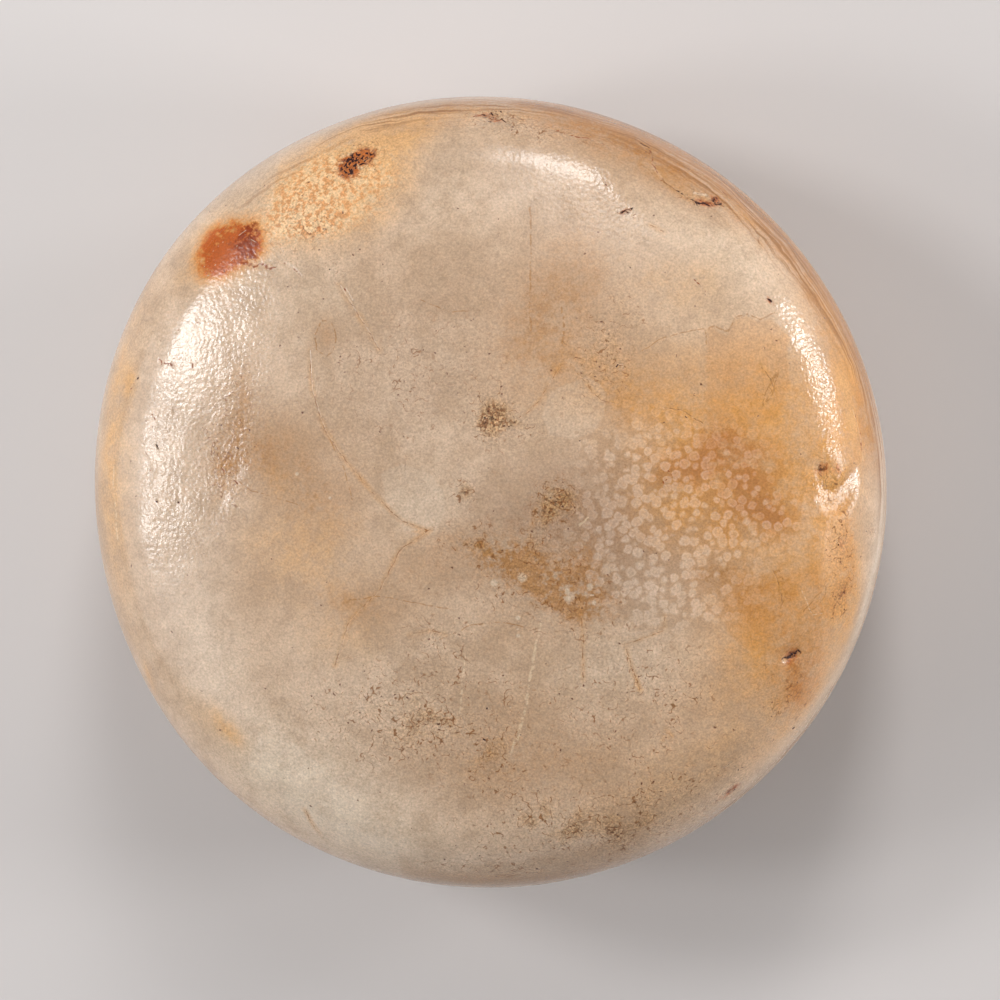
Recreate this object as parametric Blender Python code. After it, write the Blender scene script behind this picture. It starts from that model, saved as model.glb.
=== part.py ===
"""A discoidal: a game stone of translucent chert, pecked round and ground smooth, all one piece.

Metres, +Z up. The stone lies on its plainer face, with its better face up. The origin is on the surface
that it lies on, in the middle of its length and width.
"""

import math
from collections import namedtuple

import bmesh
import bpy
from mathutils import Vector

# The turned form: a disc with two crowned faces, a round shoulder and a slightly bulging rim
DIAMETER = 0.080  # across the rim where the grinding left it full
THICKNESS = 0.036  # from crown to crown
FACE_ARC = 0.110  # radius of a face's crown
SHOULDER_ARC = 0.010  # radius of the shoulder between a face and the rim
RIM_ARC = 0.030  # radius of the rim's bulge, seen in section
REST_RADIUS = 0.012  # the small flat spot on the underside

# How finely the form is divided
TURN_STEPS = 112
FACE_STEPS = 11
SHOULDER_STEPS = 9
RIM_STEPS = 3
UNDER_FACE_STEPS = 6

# A side of the rim that years of rolling have worn a little flat
WornSide = namedtuple("WornSide", "angle half_angle depth")

# A shallow scoop in the surface, placed around the stone and in from its rim, long in the way it runs
Scoop = namedtuple("Scoop", "angle inset up half_length half_width depth")

TOP_WORN_SIDE = WornSide(angle=math.radians(68), half_angle=math.radians(76), depth=0.00090)
LEFT_WORN_SIDE = WornSide(angle=math.radians(192), half_angle=math.radians(50), depth=0.00057)

RIGHT_DENT = Scoop(
    angle=math.radians(1), inset=0.0060, up=True, half_length=0.0050, half_width=0.0036, depth=0.0005
)
FLAKE_SCAR = Scoop(
    angle=math.radians(55), inset=0.0048, up=True, half_length=0.0085, half_width=0.0042, depth=0.0006
)
LEFT_HOLLOW = Scoop(
    angle=math.radians(177), inset=0.0062, up=True, half_length=0.0062, half_width=0.0038, depth=0.0002
)
LEFT_SHALLOW = Scoop(
    angle=math.radians(174), inset=0.0150, up=True, half_length=0.0060, half_width=0.0042, depth=0.00012
)
RIM_SPALL = Scoop(
    angle=math.radians(-38), inset=0.0024, up=False, half_length=0.0100, half_width=0.0046, depth=0.0008
)
UNDER_DENT = Scoop(
    angle=math.radians(108), inset=0.0110, up=False, half_length=0.0080, half_width=0.0055, depth=0.0008
)
UNDER_FLAKE = Scoop(
    angle=math.radians(232), inset=0.0040, up=False, half_length=0.0090, half_width=0.0050, depth=0.0009
)

# Long low waves left by grinding by hand
WAVE_HEIGHT = 0.00012
WAVE_LENGTH = 0.034
WAVE_WAYS = 3  # directions that the waves run in
WAVE_FIRST_WAY = math.radians(20)

STONE_COLOUR = (0.55, 0.40, 0.27, 1.0)
STONE_ROUGHNESS = 0.34


def shoulder_centre():
    """Where the shoulder's arc is centred, as distance from the axis and height over the middle plane."""
    face_centre = Vector((0.0, THICKNESS / 2 - FACE_ARC))
    rim_centre = Vector((DIAMETER / 2 - RIM_ARC, 0.0))
    to_face = FACE_ARC - SHOULDER_ARC
    to_rim = RIM_ARC - SHOULDER_ARC
    between = rim_centre - face_centre
    apart = between.length
    along = (to_face**2 - to_rim**2 + apart**2) / (2 * apart)
    aside = math.sqrt(max(to_face**2 - along**2, 0.0))
    way = between / apart
    return face_centre + way * along + Vector((way.y, -way.x)) * aside


def arc(centre, radius, start, end, steps):
    """Points on an arc from start to end, both in radians up from level, without the last one."""
    turns = [start + (end - start) * step / steps for step in range(steps)]
    return [centre + Vector((math.cos(turn), math.sin(turn))) * radius for turn in turns]


def section():
    """The half section from the upper crown, out over the shoulder and rim, to the middle of the flat spot."""
    face_centre = Vector((0.0, THICKNESS / 2 - FACE_ARC))
    rim_centre = Vector((DIAMETER / 2 - RIM_ARC, 0.0))
    shoulder = shoulder_centre()
    to_shoulder = shoulder - face_centre
    face_end = math.atan2(to_shoulder.y, to_shoulder.x)
    from_rim = shoulder - rim_centre
    rim_start = math.atan2(from_rim.y, from_rim.x)
    spot_edge = math.acos(REST_RADIUS / FACE_ARC)

    upper = arc(face_centre, FACE_ARC, math.pi / 2, face_end, FACE_STEPS)
    upper += arc(shoulder, SHOULDER_ARC, face_end, rim_start, SHOULDER_STEPS)
    upper += arc(rim_centre, RIM_ARC, rim_start, 0.0, RIM_STEPS)
    lower = arc(face_centre, FACE_ARC, spot_edge, face_end, UNDER_FACE_STEPS)
    lower += arc(shoulder, SHOULDER_ARC, face_end, rim_start, SHOULDER_STEPS)
    lower += arc(rim_centre, RIM_ARC, rim_start, 0.0, RIM_STEPS)
    middle = Vector((DIAMETER / 2, 0.0))
    under = [Vector((point.x, -point.y)) for point in reversed(lower)]
    flat_spot = Vector((0.0, under[-1].y))
    return [*upper, middle, *under, flat_spot]


def turned_stone():
    """The section spun once round into a closed mesh."""
    mesh = bmesh.new()
    profile = [mesh.verts.new((point.x, 0.0, point.y)) for point in section()]
    edges = [mesh.edges.new(pair) for pair in zip(profile, profile[1:])]
    bmesh.ops.spin(
        mesh,
        geom=profile + edges,
        cent=(0, 0, 0),
        axis=(0, 0, 1),
        angle=math.tau,
        steps=TURN_STEPS,
        use_merge=True,
    )
    bmesh.ops.remove_doubles(mesh, verts=mesh.verts, dist=DIAMETER * 1e-5)
    bmesh.ops.recalc_face_normals(mesh, faces=mesh.faces)
    return mesh


def swell(share):
    """One at the middle of a feature, falling smoothly to nothing where share reaches one."""
    return (1 - share**2) ** 2 if abs(share) < 1 else 0.0


def wear_rim(point, side):
    """The point drawn in towards the axis where its side of the rim is worn, and least near the axis."""
    turn = math.atan2(point.y, point.x) - side.angle
    turn = (turn + math.pi) % math.tau - math.pi
    out = math.hypot(point.x, point.y) / (DIAMETER / 2)
    drawn_in = side.depth / (DIAMETER / 2) * swell(turn / side.half_angle) * out**2
    return Vector((point.x * (1 - drawn_in), point.y * (1 - drawn_in), point.z))


def on_section(out):
    """Height over the middle plane and the way that the surface faces, at a distance from the axis."""
    face_centre = Vector((0.0, THICKNESS / 2 - FACE_ARC))
    rim_centre = Vector((DIAMETER / 2 - RIM_ARC, 0.0))
    shoulder = shoulder_centre()
    way = (shoulder - face_centre).normalized()
    face_reach = way.x * FACE_ARC
    rim_reach = rim_centre.x + (shoulder - rim_centre).normalized().x * RIM_ARC
    if out < face_reach:
        centre, radius = face_centre, FACE_ARC
    elif out < rim_reach:
        centre, radius = shoulder, SHOULDER_ARC
    else:
        centre, radius = rim_centre, RIM_ARC
    across = min(out - centre.x, radius)
    height = centre.y + math.sqrt(radius**2 - across**2)
    return height, (Vector((out, height)) - centre) / radius


def scoop_out(mesh, scoop):
    """Presses the surface in around one place, deepest at its middle."""
    out = DIAMETER / 2 - scoop.inset
    height, facing = on_section(out)
    side = 1 if scoop.up else -1
    outward = Vector((math.cos(scoop.angle), math.sin(scoop.angle), 0))
    along = Vector((-math.sin(scoop.angle), math.cos(scoop.angle), 0))
    normal = outward * facing.x + Vector((0, 0, facing.y * side))
    across = normal.cross(along)
    place = outward * out + Vector((0, 0, height * side))
    for vert in mesh.verts:
        offset = vert.co - place
        share = math.hypot(offset.dot(along) / scoop.half_length, offset.dot(across) / scoop.half_width)
        if offset.dot(normal) > -SHOULDER_ARC and share < 1:
            vert.co -= normal * scoop.depth * swell(share)


def wave(point):
    """How far a ground face stands over or under the turned form, as waves in three directions."""
    total = 0.0
    for turn in range(WAVE_WAYS):
        way = WAVE_FIRST_WAY + math.pi / WAVE_WAYS * turn
        run = point.x * math.cos(way) + point.y * math.sin(way)
        total += math.sin(math.tau * run / WAVE_LENGTH + turn)
    return total * WAVE_HEIGHT


def shape_by_hand(mesh):
    """Waves on the better face, then worn sides, then scoops, all clear of the flat spot."""
    for vert in mesh.verts:
        if vert.co.z > 0:
            vert.co.z += wave(vert.co) * vert.co.z / (THICKNESS / 2)
        for side in (TOP_WORN_SIDE, LEFT_WORN_SIDE):
            vert.co = wear_rim(vert.co, side)
    for scoop in (RIGHT_DENT, FLAKE_SCAR, LEFT_HOLLOW, LEFT_SHALLOW, RIM_SPALL, UNDER_DENT, UNDER_FLAKE):
        scoop_out(mesh, scoop)


def stand_at_origin(mesh):
    """Moves the stone so that its flat spot is at height 0 and its length and width are centred."""
    lowest = min(vert.co.z for vert in mesh.verts)
    middle_x = (min(vert.co.x for vert in mesh.verts) + max(vert.co.x for vert in mesh.verts)) / 2
    middle_y = (min(vert.co.y for vert in mesh.verts) + max(vert.co.y for vert in mesh.verts)) / 2
    bmesh.ops.translate(mesh, verts=mesh.verts, vec=(-middle_x, -middle_y, -lowest))


def stone_material():
    material = bpy.data.materials.new("ground_chert")
    material.use_nodes = True
    shader = material.node_tree.nodes["Principled BSDF"]
    shader.inputs["Base Color"].default_value = STONE_COLOUR
    shader.inputs["Roughness"].default_value = STONE_ROUGHNESS
    shader.inputs["Metallic"].default_value = 0.0
    return material


def make_discoidal():
    mesh = turned_stone()
    shape_by_hand(mesh)
    stand_at_origin(mesh)
    data = bpy.data.meshes.new("discoidal")
    mesh.to_mesh(data)
    mesh.free()
    data.shade_smooth()
    data.materials.append(stone_material())
    stone = bpy.data.objects.new("discoidal", data)
    bpy.context.scene.collection.objects.link(stone)
    return stone


for old in list(bpy.data.objects):
    bpy.data.objects.remove(old)
make_discoidal()
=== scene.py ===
# %% [markdown]
# # A discoidal: a game stone of pale translucent chert
# The stone is one disc, pecked round with a hammer stone and then ground smooth by hand. Its solid comes
# ready-made as a frame, and this lesson gives it the fine surface and the finish of the real stone.
# Everything is in metres. The frame's box is kept from the start, because the finished stone has to fit it.

# %% Load the frame
import math
from collections import namedtuple

import bmesh
import bpy
import numpy as np
from mathutils import Matrix, Vector, noise
from mathutils.bvhtree import BVHTree


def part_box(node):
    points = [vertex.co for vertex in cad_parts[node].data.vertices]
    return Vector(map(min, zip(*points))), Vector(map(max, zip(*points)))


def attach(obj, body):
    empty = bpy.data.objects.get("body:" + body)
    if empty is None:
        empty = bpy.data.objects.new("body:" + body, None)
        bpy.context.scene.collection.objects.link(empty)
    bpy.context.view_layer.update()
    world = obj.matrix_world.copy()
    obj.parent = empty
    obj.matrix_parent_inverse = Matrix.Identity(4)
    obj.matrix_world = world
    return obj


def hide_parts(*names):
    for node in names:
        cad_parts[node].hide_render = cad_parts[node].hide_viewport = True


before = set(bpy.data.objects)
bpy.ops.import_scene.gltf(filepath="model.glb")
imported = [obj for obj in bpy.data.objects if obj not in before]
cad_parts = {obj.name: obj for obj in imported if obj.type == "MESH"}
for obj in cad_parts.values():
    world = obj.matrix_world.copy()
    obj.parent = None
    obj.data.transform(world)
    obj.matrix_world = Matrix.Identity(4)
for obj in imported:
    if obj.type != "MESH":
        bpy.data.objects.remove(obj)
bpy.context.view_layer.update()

NODE = "discoidal"
MM = 0.001
lowest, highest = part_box(NODE)
print("solid, in mm:", [round(side / MM, 2) for side in highest - lowest])

# %% [markdown]
# ## The turned form
# A profile describes the stone: a wide flat arc over each face, a tight arc for the shoulder and a shallow
# arc for the rim, each running into the next without a corner. Where two arcs touch, their centres and the
# touching point lie on one line, so the shoulder's centre is where two circles cross. The same sizes shape
# the solid, so both agree.

# %% Sizes of the section
DIAMETER = 80 * MM
THICKNESS = 36 * MM
FACE_ARC = 110 * MM
SHOULDER_ARC = 10 * MM
RIM_ARC = 30 * MM
REST_RADIUS = 12 * MM  # of the flat spot that the stone lies on
RADIUS = DIAMETER / 2

face_centre = np.array((0.0, THICKNESS / 2 - FACE_ARC))
rim_centre = np.array((RADIUS - RIM_ARC, 0.0))
to_face, to_rim = FACE_ARC - SHOULDER_ARC, RIM_ARC - SHOULDER_ARC
apart = np.linalg.norm(rim_centre - face_centre)
way = (rim_centre - face_centre) / apart
along = (to_face**2 - to_rim**2 + apart**2) / (2 * apart)
aside = math.sqrt(to_face**2 - along**2)
shoulder_centre = face_centre + way * along + np.array((way[1], -way[0])) * aside
print("the shoulder's arc is centred", np.round(shoulder_centre / MM, 2), "mm out and up")

# %% [markdown]
# ## Reading the section by angle
# A table of the section, from crown to crown, holds distance from the axis, height, and the way that the
# surface faces. It also adds up how much of the stone's surface lies above each row. A ball has the same
# share of its surface above some angle, and that angle is where the row belongs on a ball.

# %% A table of the section, crown to crown
TABLE_STEPS = 4000


def section_arc(centre, radius, start, end, steps):
    """Points on an arc and the way the surface faces there."""
    turns = np.linspace(start, end, steps)
    facing = np.stack((np.cos(turns), np.sin(turns)), axis=1)
    return np.hstack((centre + facing * radius, facing))


def angle_of(vector):
    return math.atan2(vector[1], vector[0])


face_end = angle_of(shoulder_centre - face_centre)
rim_start = angle_of(shoulder_centre - rim_centre)
upper = np.vstack((
    section_arc(face_centre, FACE_ARC, math.pi / 2, face_end, TABLE_STEPS),
    section_arc(shoulder_centre, SHOULDER_ARC, face_end, rim_start, TABLE_STEPS),
    section_arc(rim_centre, RIM_ARC, rim_start, 0.0, TABLE_STEPS),
))
table = np.vstack((upper, upper[::-1] * (1, -1, 1, -1)))
step_lengths = np.linalg.norm(np.diff(table[:, :2], axis=0), axis=1)
walked = np.concatenate(((0.0,), np.cumsum(step_lengths)))
ring_areas = step_lengths * (table[1:, 0] + table[:-1, 0]) * math.pi
area_so_far = np.concatenate(((0.0,), np.cumsum(ring_areas)))
area_share = area_so_far / area_so_far[-1]
polar_angle = np.arccos(1 - 2 * area_share)
print("surface:", round(area_so_far[-1] / MM**2), "square mm")

# %% [markdown]
# ## A ball that takes the stone's form
# A spun mesh crowds its faces at the crowns, where they would pinch the fine relief. A cube whose sides are
# split into a grid and blown up to a ball has faces of about one size and no crowded poles. Each of its
# points then moves to the place in the section that its angle gives.

# %% A ball of evenly sized faces
GRID = 128  # faces along each edge of the cube

ball = bmesh.new()
bmesh.ops.create_cube(ball, size=2.0)
bmesh.ops.subdivide_edges(ball, edges=ball.edges, cuts=GRID - 1, use_grid_fill=True)
stone_mesh = bpy.data.meshes.new("discoidal_stone")
ball.to_mesh(stone_mesh)
ball.free()
corners = np.empty(len(stone_mesh.vertices) * 3)
stone_mesh.vertices.foreach_get("co", corners)
corners = np.tan(corners.reshape(-1, 3) * math.pi / 4)
corners /= np.linalg.norm(corners, axis=1)[:, None]
tilt = np.arccos(np.clip(corners[:, 2], -1, 1))
turn = np.arctan2(corners[:, 1], corners[:, 0])
out, height, facing_out, facing_up = (np.interp(tilt, polar_angle, table[:, i]) for i in range(4))
from_crown = np.interp(tilt, polar_angle, walked)
around = np.stack((np.cos(turn), np.sin(turn)), axis=1)
points = np.hstack((around * out[:, None], height[:, None]))
normals = np.hstack((around * facing_out[:, None], facing_up[:, None]))
print("points:", len(points), "faces:", len(stone_mesh.polygons))

# %% [markdown]
# ## What the hand and years of play did to the form
# The rim is worn a little flat on two sides, the better face is ground in long low waves, and a few
# scoops and flake scars are pressed into the surface. A smooth swell, one in the middle and nothing at the
# edge, gives each of them a soft border.

# %% Waves, worn sides and scoops
WAVE_HEIGHT = 0.12 * MM
WAVE_LENGTH = 34 * MM
WAVE_WAYS = 3
WAVE_FIRST_WAY = math.radians(20)

# Angles are degrees around the stone, and an inset is measured in from the rim
WornSide = namedtuple("WornSide", "angle half_angle depth")
Scoop = namedtuple("Scoop", "angle inset up half_length half_width depth")
WORN_SIDES = (WornSide(68, 76, 0.90 * MM), WornSide(192, 50, 0.57 * MM))
SCOOPS = (
    Scoop(1, 6.0 * MM, True, 5.0 * MM, 3.6 * MM, 0.5 * MM),
    Scoop(55, 4.8 * MM, True, 8.5 * MM, 4.2 * MM, 0.6 * MM),
    Scoop(177, 6.2 * MM, True, 6.2 * MM, 3.8 * MM, 0.2 * MM),
    Scoop(174, 15.0 * MM, True, 6.0 * MM, 4.2 * MM, 0.12 * MM),
    Scoop(-38, 2.4 * MM, False, 10.0 * MM, 4.6 * MM, 0.8 * MM),
    Scoop(108, 11.0 * MM, False, 8.0 * MM, 5.5 * MM, 0.8 * MM),
    Scoop(232, 4.0 * MM, False, 9.0 * MM, 5.0 * MM, 0.9 * MM),
)


def swell(share):
    return np.where(np.abs(share) < 1, (1 - share**2) ** 2, 0.0)


def press(points, scoop):
    """Presses the points in around one place of the turned form, deepest at its middle."""
    reach = np.interp(RADIUS - scoop.inset, upper[:, 0], np.arange(len(upper)))
    out, height, facing_out, facing_up = upper[int(reach)]
    side = 1 if scoop.up else -1
    angle = math.radians(scoop.angle)
    outward = np.array((math.cos(angle), math.sin(angle), 0.0))
    ahead = np.array((-math.sin(angle), math.cos(angle), 0.0))
    normal = outward * facing_out + np.array((0, 0, facing_up * side))
    across = np.cross(normal, ahead)
    offset = points - outward * out - np.array((0, 0, height * side))
    share = np.hypot(offset @ ahead / scoop.half_length, offset @ across / scoop.half_width)
    depth = np.where(offset @ normal > -SHOULDER_ARC, swell(share) * scoop.depth, 0.0)
    return points - depth[:, None] * normal


wave = sum(
    np.sin(math.tau * (points[:, :2] @ (math.cos(a), math.sin(a))) / WAVE_LENGTH + number)
    for number, a in enumerate(WAVE_FIRST_WAY + math.pi / WAVE_WAYS * n for n in range(WAVE_WAYS))
)
points[:, 2] += np.where(points[:, 2] > 0, WAVE_HEIGHT * wave * points[:, 2] / (THICKNESS / 2), 0.0)
for worn in WORN_SIDES:
    off = (np.degrees(np.arctan2(points[:, 1], points[:, 0])) - worn.angle + 180) % 360 - 180
    reach = np.hypot(points[:, 0], points[:, 1]) / RADIUS
    points[:, :2] *= 1 - (worn.depth / RADIUS * swell(off / worn.half_angle) * reach**2)[:, None]
for scoop in SCOOPS:
    points = press(points, scoop)
print("worn sides:", len(WORN_SIDES), "scoops:", len(SCOOPS))

# %% [markdown]
# ## Laying the stone down
# A crowned face would rock, so a small spot underneath is ground flat: every point below its level rises to
# it. The stone then moves onto the place of its solid, whose box is centred in length and width.

# %% Flat spot and place
floor_height = -(face_centre[1] + math.sqrt(FACE_ARC**2 - REST_RADIUS**2))
on_flat_spot = points[:, 2] <= floor_height
points[:, 2] = np.maximum(points[:, 2], floor_height)

middle = (points.min(axis=0) + points.max(axis=0)) / 2
shift = np.array((*(lowest + highest)[:2], 0.0)) / 2 - (*middle[:2], points[:, 2].min() - lowest.z)
points += shift
print("moved onto the solid's place by, in mm:", np.round(shift / MM, 2))

# %% [markdown]
# ## The camera, and finding places on the stone
# The camera looks down on the lying stone, tipped a few degrees, as in the photograph. The stone's marks
# are named by where they lie in the photograph's frame of 1000 by 1000 pixels, read off from it. A ray from
# the camera through such a pixel finds the place on the stone, and from then on the mark belongs to the
# stone and not to the view.

# %% Camera
FRAME_PIXELS = 1000
FULL_CIRCLE_PIXELS = 797.8
DISC_MIDDLE = (487.7, 488.6)
CAMERA_DISTANCE = 600 * MM
SENSOR_WIDTH = 36  # mm, as cameras count it
NEAREST_SEEN = 10 * MM
LEAN_RIGHT = math.radians(8)
LEAN_UP = math.radians(2.5)

frame_width = FRAME_PIXELS / FULL_CIRCLE_PIXELS * DIAMETER
camera_data = bpy.data.cameras.new("camera")
camera = bpy.data.objects.new("camera", camera_data)
bpy.context.scene.collection.objects.link(camera)
bpy.context.scene.camera = camera
camera_data.sensor_width = SENSOR_WIDTH
camera_data.lens = camera_data.sensor_width * CAMERA_DISTANCE / frame_width
camera_data.clip_start = NEAREST_SEEN
back = Vector((math.sin(LEAN_RIGHT), math.sin(LEAN_UP), 0))
back.z = math.sqrt(1 - back.length_squared)
right = Vector((0, 1, 0)).cross(back).normalized()
up = back.cross(right)
aside = (0.5 * FRAME_PIXELS - DISC_MIDDLE[0]) / FRAME_PIXELS * frame_width
above = (DISC_MIDDLE[1] - 0.5 * FRAME_PIXELS) / FRAME_PIXELS * frame_width
place = Vector(shift) + back * CAMERA_DISTANCE + right * aside + up * above
camera.matrix_world = Matrix.Translation(place) @ Matrix((right, up, back)).transposed().to_4x4()
print("lens:", round(camera_data.lens), "mm")

# %% [markdown]
# ## Outlines in the photograph's pixels
# Some things on the stone have a clear outline: a chip, or a patch that ends at a sharp line. A few corners
# describe each outline. This helper sees the mesh as the camera does and says how deep every point lies
# inside the nearest outline, in millimetres, and below nothing outside.

# %% Depth inside an outline
PIXELS_PER_MM = FRAME_PIXELS / frame_width * MM
REACH = 0.9  # mm, about two faces of the mesh


def depth_inside(outlines):
    """How deep each point lies inside the nearest outline, as the camera sees it."""
    sight = points - np.array(camera.matrix_world.translation)
    scale = CAMERA_DISTANCE / (sight @ -np.array(back)) / MM * PIXELS_PER_MM
    px = FRAME_PIXELS / 2 + sight @ np.array(right) * scale
    py = FRAME_PIXELS / 2 - sight @ np.array(up) * scale
    deepest = np.full(len(points), -REACH)
    for outline in outlines:
        inside = np.zeros(len(points), bool)
        nearest = np.full(len(points), float(FRAME_PIXELS))
        for (ax, ay), (bx, by) in zip(outline, (*outline[1:], outline[0])):
            crossing = ((ay > py) != (by > py)) & (px < (bx - ax) * (py - ay) / (by - ay or 1) + ax)
            inside ^= crossing
            share = ((px - ax) * (bx - ax) + (py - ay) * (by - ay)) / ((bx - ax) ** 2 + (by - ay) ** 2)
            share = np.clip(share, 0, 1)
            off_x = px - ax - share * (bx - ax)
            off_y = py - ay - share * (by - ay)
            nearest = np.minimum(nearest, np.hypot(off_x, off_y))
        depth = np.where(inside, nearest, -nearest) / PIXELS_PER_MM
        deepest = np.maximum(deepest, depth)
    deepest[normals @ np.array(back) < 0] = -REACH
    return deepest


print("pixels to a millimetre:", round(PIXELS_PER_MM, 2))

# %% [markdown]
# ## A chipped spot on the right
# Old play knocked a small flake off the right shoulder. Its scar is flat where the stone around it is
# round, so it catches the light all at once. The points inside its outline are sunk onto one plane a little
# below the surface, and none may stand more than a hair proud of the round form.

# %% The chip's flat scar
CHIP = (
    (788, 470), (800, 471), (812, 474), (821, 480), (830, 485), (838, 486), (844, 479), (850, 469),
    (862, 462), (864, 478), (858, 492), (850, 506), (840, 514), (828, 512), (816, 504), (804, 494),
    (796, 484),
)
CHIP_BORDER = 0.5  # mm
CHIP_DEPTH = 0.15 * MM
MOST_PROUD = 0.03 * MM
flatness = np.clip(depth_inside((CHIP,)) / CHIP_BORDER + 0.5, 0, 1)
scar = flatness > 0.5
scar_facing = normals[scar].mean(axis=0)
scar_facing /= np.linalg.norm(scar_facing)
scar_place = points[scar].mean(axis=0) - scar_facing * CHIP_DEPTH
sunk = np.minimum((scar_place - points) @ scar_facing * flatness, MOST_PROUD)
points += sunk[:, None] * scar_facing
print("the scar moved its points by, in mm:", np.round(np.array((sunk.min(), sunk.max())) / MM, 2))

# %% [markdown]
# ## From a pixel to a place on the stone
# A search tree holds the stone's faces, so that a ray from the camera finds the first one that it meets.
# Marks on the very edge may miss it by a hair, so the ray is drawn in towards the middle until it meets.

# %% Rays onto the stone
DRAWN_IN = 0.005  # share of the way to the disc's middle, at each try
stone_tree = BVHTree.FromPolygons([Vector(p) for p in points], [p.vertices for p in stone_mesh.polygons])


def on_stone(px, py):
    """Where the camera's ray through a pixel meets the stone, and the way that the surface faces."""
    spot = None
    while spot is None:
        across = (px / FRAME_PIXELS - 0.5) * frame_width
        down = (py / FRAME_PIXELS - 0.5) * frame_width
        ray = right * across - up * down - back * CAMERA_DISTANCE
        spot, normal, *_ = stone_tree.ray_cast(camera.matrix_world.translation, ray.normalized())
        px += (DISC_MIDDLE[0] - px) * DRAWN_IN
        py += (DISC_MIDDLE[1] - py) * DRAWN_IN
    return spot, normal


print("middle of the face, in mm:", [round(c / MM, 1) for c in on_stone(*DISC_MIDDLE)[0]])

# %% [markdown]
# ## Painting amounts on the mesh
# Iron, dirt and paler silica stain the chert in patches. Each patch is an oval blot with a place, a size in
# millimetres along and across, a turn and a strength. The blots of one stain add up to a number at every
# point of the mesh, which is kept as an attribute. The material reads that number and breaks up its border
# with noise, so that the patch gets fine natural edges without a picture.

# %% Blots become an attribute
Blot = namedtuple("Blot", "px py long wide turn strength")
SEED = 7
SURELY_HIDDEN = -0.05  # how far a point's facing has to turn away from the camera
chance = np.random.default_rng(SEED)
hidden = np.flatnonzero(normals @ np.array(back) < SURELY_HIDDEN)


def oval(spot, normal, way, long, wide):
    """How far each point lies from an oval's middle, where one is on the line of half strength."""
    normal = np.array(normal)
    along = np.array(way) - normal * np.dot(way, normal)
    along /= np.linalg.norm(along)
    offset = (points - np.array(spot)) / MM
    across = np.cross(normal, along)
    depth = offset @ normal / max(long, wide)
    return np.sqrt((offset @ along / long) ** 2 + (offset @ across / wide) ** 2 + depth**2)


print("points that the camera doesn't see:", len(hidden))

# %% [markdown]
# ## Stains on the sides that don't show
# The photograph shows one face, so the other sides get a few blots of each stain by chance. The stone's
# layers show as lines that run round its rim, and these blots lie along the rim too. Chance starts from a
# fixed seed, which gives the same stone at every run. The distance from the crown is painted first,
# because the streaks on the rim will follow it.

# %% Amounts, and painting them
WAY_SPREAD = 8 * MM  # how far a hidden blot's way wanders off the rim's
HIDDEN_SIZES = (0.5, 1.3)
HIDDEN_STRENGTHS = (0.5, 1.1)


def amount_of(blots, elsewhere=0, long=6.0, wide=3.0, strength=0.6):
    """The blots' strengths, summed at every point, with some more blots by chance on the hidden sides."""
    total = np.zeros(len(points))
    for blot in blots:
        angle = math.radians(blot.turn)
        way = right * math.cos(angle) + up * math.sin(angle)
        share = oval(*on_stone(blot.px, blot.py), way, blot.long, blot.wide)
        total += blot.strength * 0.5 ** (share**2)
    for index in chance.choice(hidden, elsewhere, replace=False):
        x, y, _ = points[index]
        way = np.array((-y, x, 0)) + chance.normal(size=3) * WAY_SPREAD
        size = chance.uniform(*HIDDEN_SIZES)
        share = oval(points[index], normals[index], way, long * size, wide * size)
        total += strength * chance.uniform(*HIDDEN_STRENGTHS) * 0.5 ** (share**2)
    return total


def paint(name, values, kind="FLOAT"):
    """Keeps one value for each point of the mesh as an attribute, which a material can read by its name."""
    attribute = stone_mesh.attributes.new(name, kind, "POINT")
    attribute.data.foreach_set("value" if kind == "FLOAT" else "vector", np.ravel(values))
    print("painted", name, "up to", round(float(np.max(values)), 2))


paint("from_crown", from_crown / MM)

# %% [markdown]
# ## Milky cream
# Where chert is a little more porous it scatters more light and looks milky. These broad places give the
# stone its clouds, the palest of them low on the left. Wide weak blots that overlap look more natural than
# a few strong ones.

# %% Cream
CREAM = (
    Blot(745, 262, 8.0, 4.0, -45, 0.5), Blot(650, 240, 8.0, 4.5, 0, 0.2),
    Blot(445, 175, 5.0, 3.0, 80, 0.15), Blot(330, 800, 8.0, 4.2, -28, 1.0),
    Blot(365, 840, 5.0, 2.5, -15, 0.4), Blot(262, 765, 5.0, 3.5, -45, 0.45),
    Blot(215, 660, 7.0, 3.5, -70, 0.45), Blot(876, 560, 8.0, 1.2, 80, 0.9),
    Blot(416, 505, 3.6, 3.0, 60, 0.25), Blot(465, 368, 4.5, 3.0, 20, 0.1),
    Blot(575, 412, 3.0, 3.0, 20, 0.25), Blot(612, 650, 5.0, 4.0, 0, 0.35),
    Blot(600, 470, 3.0, 3.0, 0, 0.1), Blot(435, 500, 2.0, 2.0, 0, 0.2), Blot(704, 330, 4.0, 2.0, 0, 0.3),
    Blot(315, 290, 5.0, 3.0, 0, 0.3), Blot(684, 792, 4.0, 2.4, 30, 0.3),
)
paint("cream", amount_of(CREAM, 14, 9, 6, 0.7))
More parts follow.
